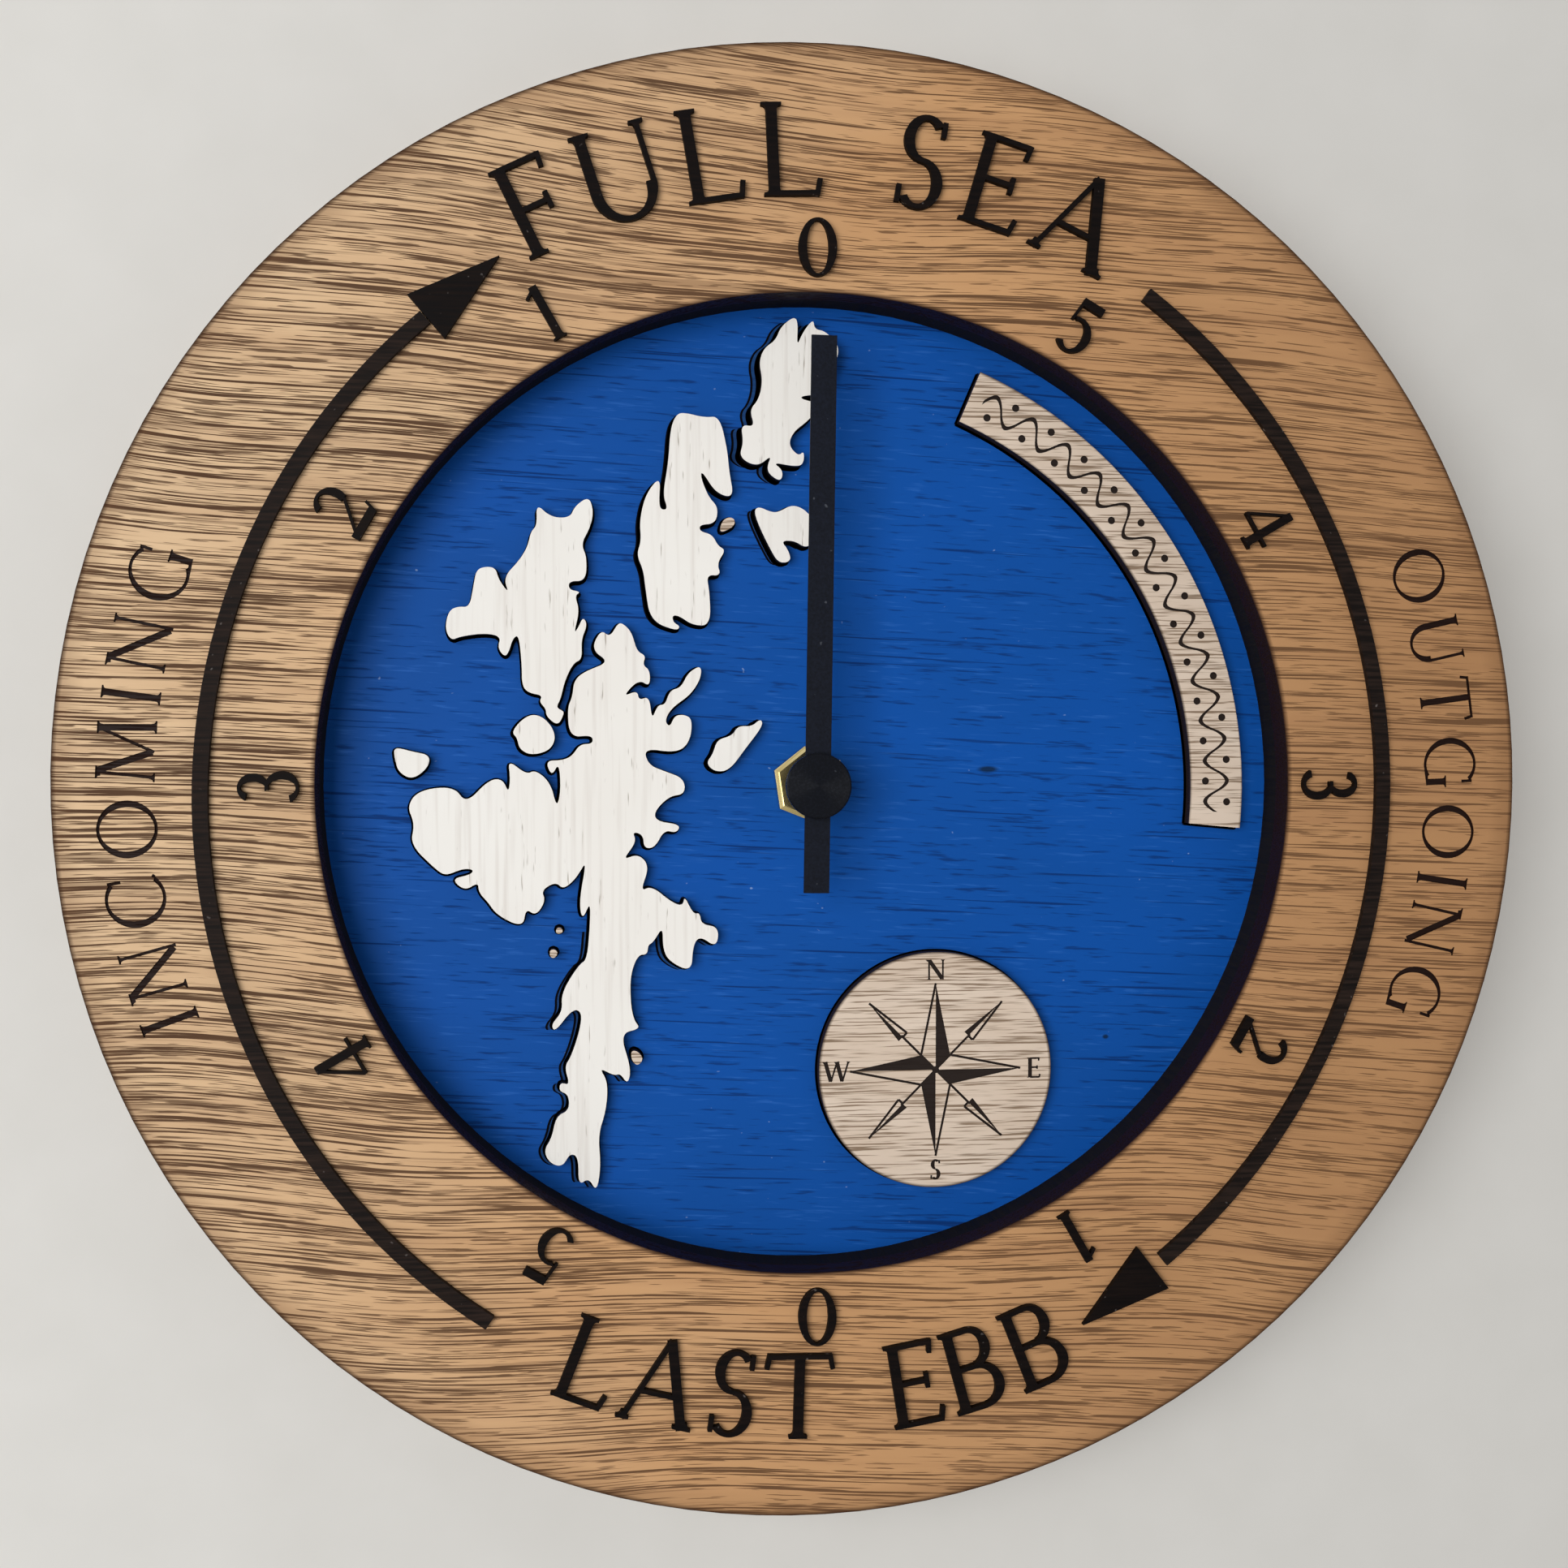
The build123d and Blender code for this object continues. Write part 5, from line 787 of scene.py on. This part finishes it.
# %% Dry cell
cell_low, cell_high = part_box("battery")
nub_length = 0.001
nub_radius = 0.0027
lip_width = 0.0012
lip_depth = 0.0004
rim_round = 0.0002
cell_radius = (cell_high.z - cell_low.z) / 2
cell_length = cell_high.x - cell_low.x - nub_length
cell_middle = (cell_low + cell_high - Vector((nub_length, 0, 0))) / 2
bpy.ops.object.select_all(action="DESELECT")
bpy.ops.mesh.primitive_cylinder_add(vertices=96, radius=cell_radius, depth=cell_length, location=cell_middle,
                                    rotation=(0, pi / 2, 0))
cell = bpy.context.object
cell.name = "dry_cell"
apply_place(cell)
bpy.ops.object.mode_set(mode="EDIT")
select_faces(cell, lambda middle, normal: abs(normal.x) > 0.9)
bpy.ops.mesh.inset(thickness=lip_width)
for side in (1, -1):
    select_faces(cell, lambda middle, normal: normal.x * side > 0.9 and (middle - cell_middle).yz.length < rim_round)
    bpy.ops.mesh.extrude_region_move(TRANSFORM_OT_translate={"value": (-side * lip_depth, 0, 0)})
select_faces(cell, lambda middle, normal: normal.x > 0.9 and (middle - cell_middle).yz.length < rim_round)
bpy.ops.mesh.inset(thickness=cell_radius - lip_width - nub_radius)
bpy.ops.mesh.extrude_region_move(TRANSFORM_OT_translate={"value": (lip_depth + nub_length, 0, 0)})
bpy.ops.object.mode_set(mode="OBJECT")
rims = cell.modifiers.new("rims", "BEVEL")
rims.width = rim_round
rims.segments = 3
bpy.ops.object.modifier_apply(modifier=rims.name)
bpy.ops.object.shade_smooth_by_angle(angle=radians(35))
print("dry cell", round(cell_length, 4), "by", round(2 * cell_radius, 4), "m,", len(cell.data.polygons), "faces")

# %% Sleeve and can of the cell
sleeve, tree, shader, place = new_material("shrunk_printed_sleeve")
band_width = 0.006
crease = Vector((0.004, 0.0012, 0.0012))
creases = fibres(tree, place, crease)
along = add_node(tree, "ShaderNodeSeparateXYZ", {0: place}).outputs["X"]
in_band = add_node(tree, "ShaderNodeMath", {0: along, 1: cell_high.x - nub_length - band_width},
                   operation="GREATER_THAN").outputs[0]
printed = add_node(tree, "ShaderNodeMix", {0: in_band, 6: linear("#59656D"), 7: linear("#D9D7D0")},
                   data_type="RGBA").outputs[2]
scuff_share = add_node(tree, "ShaderNodeMapRange", {"Value": creases, "From Min": 0.55, "From Max": 0.8,
                                                    "To Max": 0.3}).outputs[0]
scuffed = add_node(tree, "ShaderNodeMix", {0: scuff_share, 6: printed, 7: linear("#8B9296")},
                   data_type="RGBA").outputs[2]
tree.links.new(scuffed, shader.inputs["Base Color"])
sleeve_gloss = add_node(tree, "ShaderNodeMapRange", {"Value": creases, "To Min": 0.2, "To Max": 0.4})
tree.links.new(sleeve_gloss.outputs[0], shader.inputs["Roughness"])
sleeve_bump = add_node(tree, "ShaderNodeBump", {"Height": creases, "Strength": 0.2, "Distance": paint_groove})
tree.links.new(sleeve_bump.outputs[0], shader.inputs["Normal"])
cell.data.materials.append(sleeve)
cell.data.materials.append(metals["nickel_plated_spring_steel"])
for face in cell.data.polygons:
    face.material_index = int((face.center - cell_middle).yz.length < cell_radius - lip_width)
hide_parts("battery")
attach(cell, "clock")
print("sleeve with a", band_width, "m band")

# %% [markdown]
# ## The thread on the bush
#
# The neck of the movement is a brass tube with a fine thread, which the hexagon nut runs on. In the CAD model it is
# plain. Here a tube is made from a cylinder by bridging its two ends, and one triangle, turned and moved
# along by the screw modifier, winds round it as the thread.

# %% Tube of the bush
bush_low, bush_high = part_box("threaded_bush")
bore_radius, bush_radius = reach_from_axis("threaded_bush")
thread_depth = 0.0004
thread_pitch = 0.00075
core_radius = bush_radius - thread_depth
bush_length = bush_high.y - bush_low.y
bush_middle = (bush_low + bush_high) / 2
bpy.ops.object.select_all(action="DESELECT")
bpy.ops.mesh.primitive_cylinder_add(vertices=64, radius=core_radius, depth=bush_length, location=bush_middle,
                                    rotation=(pi / 2, 0, 0))
bush = bpy.context.object
bush.name = "bush_with_thread"
apply_place(bush)
bpy.ops.object.mode_set(mode="EDIT")
select_faces(bush, lambda middle, normal: abs(normal.y) > 0.9)
bpy.ops.mesh.inset(thickness=core_radius - bore_radius)
bpy.ops.mesh.bridge_edge_loops()
bpy.ops.mesh.select_all(action="SELECT")
bpy.ops.mesh.normals_make_consistent(inside=False)
bpy.ops.object.mode_set(mode="OBJECT")
print("bush tube", round(bush_length, 4), "m long, bore", round(2 * bore_radius, 5), "m")

# %% Thread
ridge_size = thread_depth / 1.5
thread_turns = int((bush_length - 2 * thread_pitch) / thread_pitch)
bpy.ops.object.select_all(action="DESELECT")
bpy.ops.mesh.primitive_circle_add(vertices=3, radius=ridge_size, rotation=(0, 0, -pi / 2),
                                  location=(bush_radius - ridge_size, 0, 0))
thread = bpy.context.object
apply_place(thread)
winding = thread.modifiers.new("winding", "SCREW")
winding.axis = "Y"
winding.screw_offset = thread_pitch
winding.iterations = thread_turns
winding.steps = 48
winding.render_steps = 48
bpy.ops.object.modifier_apply(modifier=winding.name)
bpy.ops.object.mode_set(mode="EDIT")
bpy.ops.mesh.select_all(action="SELECT")
bpy.ops.mesh.fill_holes(sides=3)
bpy.ops.mesh.select_all(action="SELECT")
bpy.ops.mesh.normals_make_consistent(inside=False)
bpy.ops.object.mode_set(mode="OBJECT")
thread.location = (bush_middle.x, bush_low.y + thread_pitch, bush_middle.z)
apply_place(thread)
bush.select_set(True)
bpy.context.view_layer.objects.active = bush
bpy.ops.object.join()
bpy.ops.object.shade_smooth_by_angle(angle=radians(35))
bush.data.materials.append(metals["machined_brass"])
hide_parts("threaded_bush")
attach(bush, "clock")
print(thread_turns, "turns of thread,", len(bush.data.polygons), "faces")

# %% [markdown]
# ## The hexagon nut
#
# The nut is cut from hexagon brass bar, and the edges of its front are turned off at a slant, so bright rims
# lie on both sides of a duller face. A cylinder with six sides is the bar. Two insets of its front face, each with
# some depth, slant the outer edges, and a boolean cuts the bore, with a cutter that widens at the front.

# %% Hexagon bar
nut_low, nut_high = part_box("hex_nut")
nut_bore, nut_reach = reach_from_axis("hex_nut")
slant_width = 0.00045
slant_depths = (0.00036, 0.0002)
bar_length = nut_high.y - nut_low.y - sum(slant_depths)
bar_middle = Vector((clock_axis.x, nut_high.y - bar_length / 2, clock_axis.z))
nut_corners = [corner.co - clock_axis for corner in frame["nodes"]["hex_nut"].data.vertices]
far_corner = max(nut_corners, key=lambda corner: corner.xz.length)
corner_turn = atan2(far_corner.x, far_corner.z)
bpy.ops.object.select_all(action="DESELECT")
bpy.ops.mesh.primitive_cylinder_add(vertices=6, radius=nut_reach, depth=bar_length, location=bar_middle,
                                    rotation=(pi / 2, corner_turn, 0))
nut = bpy.context.object
nut.name = "slanted_nut"
apply_place(nut)
bpy.ops.object.mode_set(mode="EDIT")
select_faces(nut, lambda middle, normal: normal.y < -0.9)
for slant_depth in slant_depths:
    bpy.ops.mesh.inset(thickness=slant_width, depth=slant_depth)
bpy.ops.object.mode_set(mode="OBJECT")
print("nut from", round(min(corner.co.y for corner in nut.data.vertices), 5), "to", round(nut_high.y, 5), "m")

# %% Bore of the nut
flare_width = 0.0008
bore_flare = 1 + flare_width / nut_bore
bpy.ops.object.select_all(action="DESELECT")
bpy.ops.mesh.primitive_cylinder_add(vertices=96, radius=nut_bore, depth=2 * bar_length, rotation=(pi / 2, 0, 0),
                                    location=bar_middle + Vector((0, bar_length / 2, 0)))
cutter = bpy.context.object
apply_place(cutter)
bpy.ops.object.mode_set(mode="EDIT")
select_faces(cutter, lambda middle, normal: normal.y < -0.9)
bpy.ops.mesh.extrude_region_move(TRANSFORM_OT_translate={"value": (0, -sum(slant_depths), 0)})
bpy.ops.transform.resize(value=(bore_flare, 1, bore_flare), center_override=clock_axis)
bpy.ops.mesh.extrude_region_move(TRANSFORM_OT_translate={"value": (0, -flare_width, 0)})
bpy.ops.object.mode_set(mode="OBJECT")
only(nut)
bore = nut.modifiers.new("bore", "BOOLEAN")
bore.object = cutter
bore.solver = "EXACT"
bpy.ops.object.modifier_apply(modifier=bore.name)
bpy.data.objects.remove(cutter)
bpy.ops.object.shade_smooth_by_angle(angle=radians(20))
nut.data.materials.append(metals["machined_brass"])
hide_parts("hex_nut")
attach(nut, "clock")
print("nut with", len(nut.data.polygons), "faces, bore", round(2 * nut_bore, 5), "m")

# %% [markdown]
# ## Clips on the movement
#
# The cover of a quartz movement snaps on. Four hooks on the walls of the case reach over its edge. One hook is
# modelled from a cube whose rear face is extruded over the cover, and its edges are rounded with a bevel.
# The other three are copies of it, and two of those are turned round the middle of the case.

# %% One hook
case_low, case_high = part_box("movement_case")
cover_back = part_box("movement_cover")[1].y
case_middle = (case_low + case_high) / 2
hook_width = 0.006
hook_thickness = 0.0008
hook_leg = 0.005
hook_reach = 0.0014
hook_round = 0.0002
hook_apart = 0.014
hook_middle = Vector((hook_apart, cover_back - hook_leg / 2, case_high.z + hook_thickness / 2))
bpy.ops.object.select_all(action="DESELECT")
bpy.ops.mesh.primitive_cube_add(size=1, location=hook_middle, scale=(hook_width, hook_leg, hook_thickness))
hook = bpy.context.object
hook.name = "cover_hook"
apply_place(hook)
bpy.ops.object.mode_set(mode="EDIT")
select_faces(hook, lambda middle, normal: normal.y > 0.9)
bpy.ops.mesh.extrude_region_move(TRANSFORM_OT_translate={"value": (0, hook_thickness, 0)})
select_faces(hook, lambda middle, normal: normal.z < -0.9 and middle.y > cover_back)
bpy.ops.mesh.extrude_region_move(TRANSFORM_OT_translate={"value": (0, 0, -hook_reach)})
bpy.ops.object.mode_set(mode="OBJECT")
corners = hook.modifiers.new("corners", "BEVEL")
corners.width = hook_round
corners.segments = 3
bpy.ops.object.modifier_apply(modifier=corners.name)
bpy.ops.object.shade_smooth_by_angle(angle=radians(35))
hook.data.materials.append(moulded["spark_textured_abs"])
print("hook with", len(hook.data.polygons), "faces")

# %% Four hooks
for place_name, turn, shift in (("left_top", 0, -2 * hook_apart), ("left_side", pi / 2, 0),
                                ("right_side", -pi / 2, -2 * hook_apart)):
    copy = bpy.data.objects.new("cover_hook_" + place_name, hook.data.copy())
    bpy.context.scene.collection.objects.link(copy)
    only(copy)
    bpy.ops.object.mode_set(mode="EDIT")
    bpy.ops.mesh.select_all(action="SELECT")
    bpy.ops.transform.translate(value=(shift, 0, 0))
    bpy.ops.transform.rotate(value=turn, orient_axis="Y", center_override=case_middle)
    bpy.ops.object.mode_set(mode="OBJECT")
    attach(copy, "clock")
    middle = sum((corner.co for corner in copy.data.vertices), Vector()) / len(copy.data.vertices)
    print(copy.name, "at", [round(side, 4) for side in middle])
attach(hook, "clock")

# %% [markdown]
# ## The arrow round the knob
#
# A raised arrow on the cover shows that the knob turns. Its shaft is a small square, spun part of the way round
# the knob's axis, and its head is a three-sided cylinder that lies at the end of the shaft.

# %% Setting arrow
knob_axis = Vector(next(row["pos_m"] for row in frame["joints"] if row["name"] == "setting_knob_turn"))
knob_low, knob_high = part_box("setting_knob")
arrow_width = 0.0006
arrow_round = 0.0001
arrow_radius = (knob_high.x - knob_low.x) / 2 + 2 * arrow_width
arrow_sweep = radians(200)
shaft_start = Vector((knob_axis.x + arrow_radius, cover_back, knob_axis.z))
bpy.ops.object.select_all(action="DESELECT")
bpy.ops.mesh.primitive_plane_add(size=arrow_width, location=shaft_start)
arrow = bpy.context.object
arrow.name = "setting_arrow"
apply_place(arrow)
bpy.ops.object.mode_set(mode="EDIT")
bpy.ops.mesh.select_all(action="SELECT")
bpy.ops.mesh.spin(steps=48, angle=arrow_sweep, center=knob_axis, axis=(0, 1, 0))
bpy.ops.mesh.select_all(action="SELECT")
bpy.ops.mesh.normals_make_consistent(inside=False)
bpy.ops.object.mode_set(mode="OBJECT")
print("arrow shaft with", len(arrow.data.polygons), "faces")

# %% Head of the arrow
head_size = 2 * arrow_width
shaft_end = Vector((knob_axis.x + arrow_radius * cos(arrow_sweep), cover_back,
                    knob_axis.z + arrow_radius * sin(arrow_sweep)))
bpy.ops.object.select_all(action="DESELECT")
bpy.ops.mesh.primitive_cylinder_add(vertices=3, radius=head_size, depth=arrow_width, location=shaft_end,
                                    rotation=(pi / 2, -arrow_sweep, 0))
head = bpy.context.object
apply_place(head)
arrow.select_set(True)
bpy.context.view_layer.objects.active = arrow
bpy.ops.object.join()
soft_edges = arrow.modifiers.new("soft_edges", "BEVEL")
soft_edges.width = arrow_round
soft_edges.segments = 2
bpy.ops.object.modifier_apply(modifier=soft_edges.name)
arrow.data.materials.append(moulded["spark_textured_abs"])
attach(arrow, "clock")
print("setting arrow with", len(arrow.data.polygons), "faces")

# %% [markdown]
# ## Wall, floor, light and camera
#
# The clock hangs on a plain pale wall, with a pale floor far below the picture. The wall shows only from the front:
# seen from behind it lets the eye and the light through, so the back of the clock can be looked at too.
# One wide lamp at the left gives the soft shadows that fall to the right of the raised pieces, and a weak one
# far out on the left, like a window, brightens the edges that face it.

# %% Wall and floor
roller_mark = Vector((0.02, 0.02, 0.02))


def pale_sheet(name, size, place, turn, colour, shade):
    """A flat part of the room, which isn't part of the clock."""
    bpy.ops.object.select_all(action="DESELECT")
    bpy.ops.mesh.primitive_plane_add(size=size, location=place, rotation=turn)
    sheet = bpy.context.object
    sheet.name = name
    material, tree, shader, spot = new_material(name + "_paint", specular=0.1)
    mottle = add_node(tree, "ShaderNodeMix", {0: fibres(tree, spot, roller_mark, detail=4.0), 6: linear(colour),
                                              7: linear(shade)}, data_type="RGBA")
    tree.links.new(mottle.outputs[2], shader.inputs["Base Color"])
    shader.inputs["Roughness"].default_value = 0.9
    sheet.data.materials.append(material)
    return tree, shader


wall_size = 4.0
wall_gap = 0.0003
floor_drop = 1.2
wall_colour = "#D2D0CC"
wall_shade = "#CAC8C3"
wall_glow = 0.12
tree, shader = pale_sheet("wall", wall_size, (0, wall_gap, 0), (pi / 2, 0, 0), wall_colour, wall_shade)
path = add_node(tree, "ShaderNodeLightPath")
glow = add_node(tree, "ShaderNodeMapRange", {"Value": path.outputs["Is Camera Ray"], "To Max": wall_glow})
tree.links.new(glow.outputs[0], shader.inputs["Emission Strength"])
shader.inputs["Emission Color"].default_value = linear(wall_colour)
behind = add_node(tree, "ShaderNodeNewGeometry").outputs["Backfacing"]
unseen = add_node(tree, "ShaderNodeMath", {0: path.outputs["Is Shadow Ray"], 1: path.outputs["Is Diffuse Ray"]},
                  operation="MAXIMUM")
open_way = add_node(tree, "ShaderNodeMath", {0: unseen.outputs[0], 1: behind}, operation="MAXIMUM")
clear = add_node(tree, "ShaderNodeBsdfTransparent")
mixed = add_node(tree, "ShaderNodeMixShader", {0: open_way.outputs[0], 1: shader.outputs[0], 2: clear.outputs[0]})
tree.links.new(mixed.outputs[0], tree.nodes["Material Output"].inputs["Surface"])
floor_glow = 0.4
tree, shader = pale_sheet("floor", wall_size, (0, 0, -floor_drop), (0, 0, 0), wall_colour, wall_shade)
looked_at = add_node(tree, "ShaderNodeLightPath").outputs["Is Camera Ray"]
glow = add_node(tree, "ShaderNodeMapRange", {"Value": looked_at, "To Max": floor_glow})
tree.links.new(glow.outputs[0], shader.inputs["Emission Strength"])
shader.inputs["Emission Color"].default_value = linear(wall_colour)
print("wall and floor", wall_size, "m across")

# %% Lamps and room light
scene = bpy.context.scene
scene.view_settings.view_transform = "Standard"
room_light = 0.36
backdrop_light = 0.7
world = bpy.data.worlds.new("studio")
world.use_nodes = True
world_tree = world.node_tree
rays = add_node(world_tree, "ShaderNodeLightPath")
looked_at = add_node(world_tree, "ShaderNodeMath", {0: rays.outputs["Is Camera Ray"], 1: rays.outputs["Is Glossy Ray"]},
                     operation="MAXIMUM").outputs[0]
seen = add_node(world_tree, "ShaderNodeMath", {0: looked_at, 1: rays.outputs["Is Transmission Ray"]},
                operation="MAXIMUM").outputs[0]
strength = add_node(world_tree, "ShaderNodeMapRange", {"Value": seen, "To Min": room_light, "To Max": backdrop_light})
world_tree.links.new(strength.outputs[0], world_tree.nodes["Background"].inputs["Strength"])
world_tree.nodes["Background"].inputs["Color"].default_value = linear("#FFFFFF")
scene.world = world


def soft_lamp(name, place, target, width, height, power):
    """A flat lamp that faces a point."""
    lamp = bpy.data.lights.new(name, "AREA")
    lamp.shape = "RECTANGLE"
    lamp.size = width
    lamp.size_y = height
    lamp.energy = power
    holder = bpy.data.objects.new(name, lamp)
    scene.collection.objects.link(holder)
    holder.location = place
    holder.rotation_euler = (Vector(target) - Vector(place)).to_track_quat("-Z", "Y").to_euler()
    print(name, "at", place, "gives", power, "W")


soft_lamp("key_lamp", (-0.62, -1.15, -0.05), clock_axis, 0.8, 0.8, 12.2)
soft_lamp("side_lamp", (-2.3, -0.4, 0), clock_axis, 0.5, 2.0, 9.0)
soft_lamp("back_lamp", (0.7, 1.3, 0.6), clock_axis, 0.8, 0.8, 13.0)

# %% Camera
image_pixels = 1932
focal_pixels = 2200
sensor_width = 36.0
camera_place = (-0.0496, -0.3979, -0.1162)
camera_tilt = -1.33
camera_turn = -6.78
camera = bpy.data.objects.new("camera", bpy.data.cameras.new("camera"))
camera.data.sensor_width = sensor_width
camera.data.lens = focal_pixels / image_pixels * sensor_width
camera.location = camera_place
camera.rotation_euler = (radians(90 + camera_tilt), 0, radians(camera_turn))
scene.collection.objects.link(camera)
scene.camera = camera
print("camera lens", round(camera.data.lens, 2), "mm")
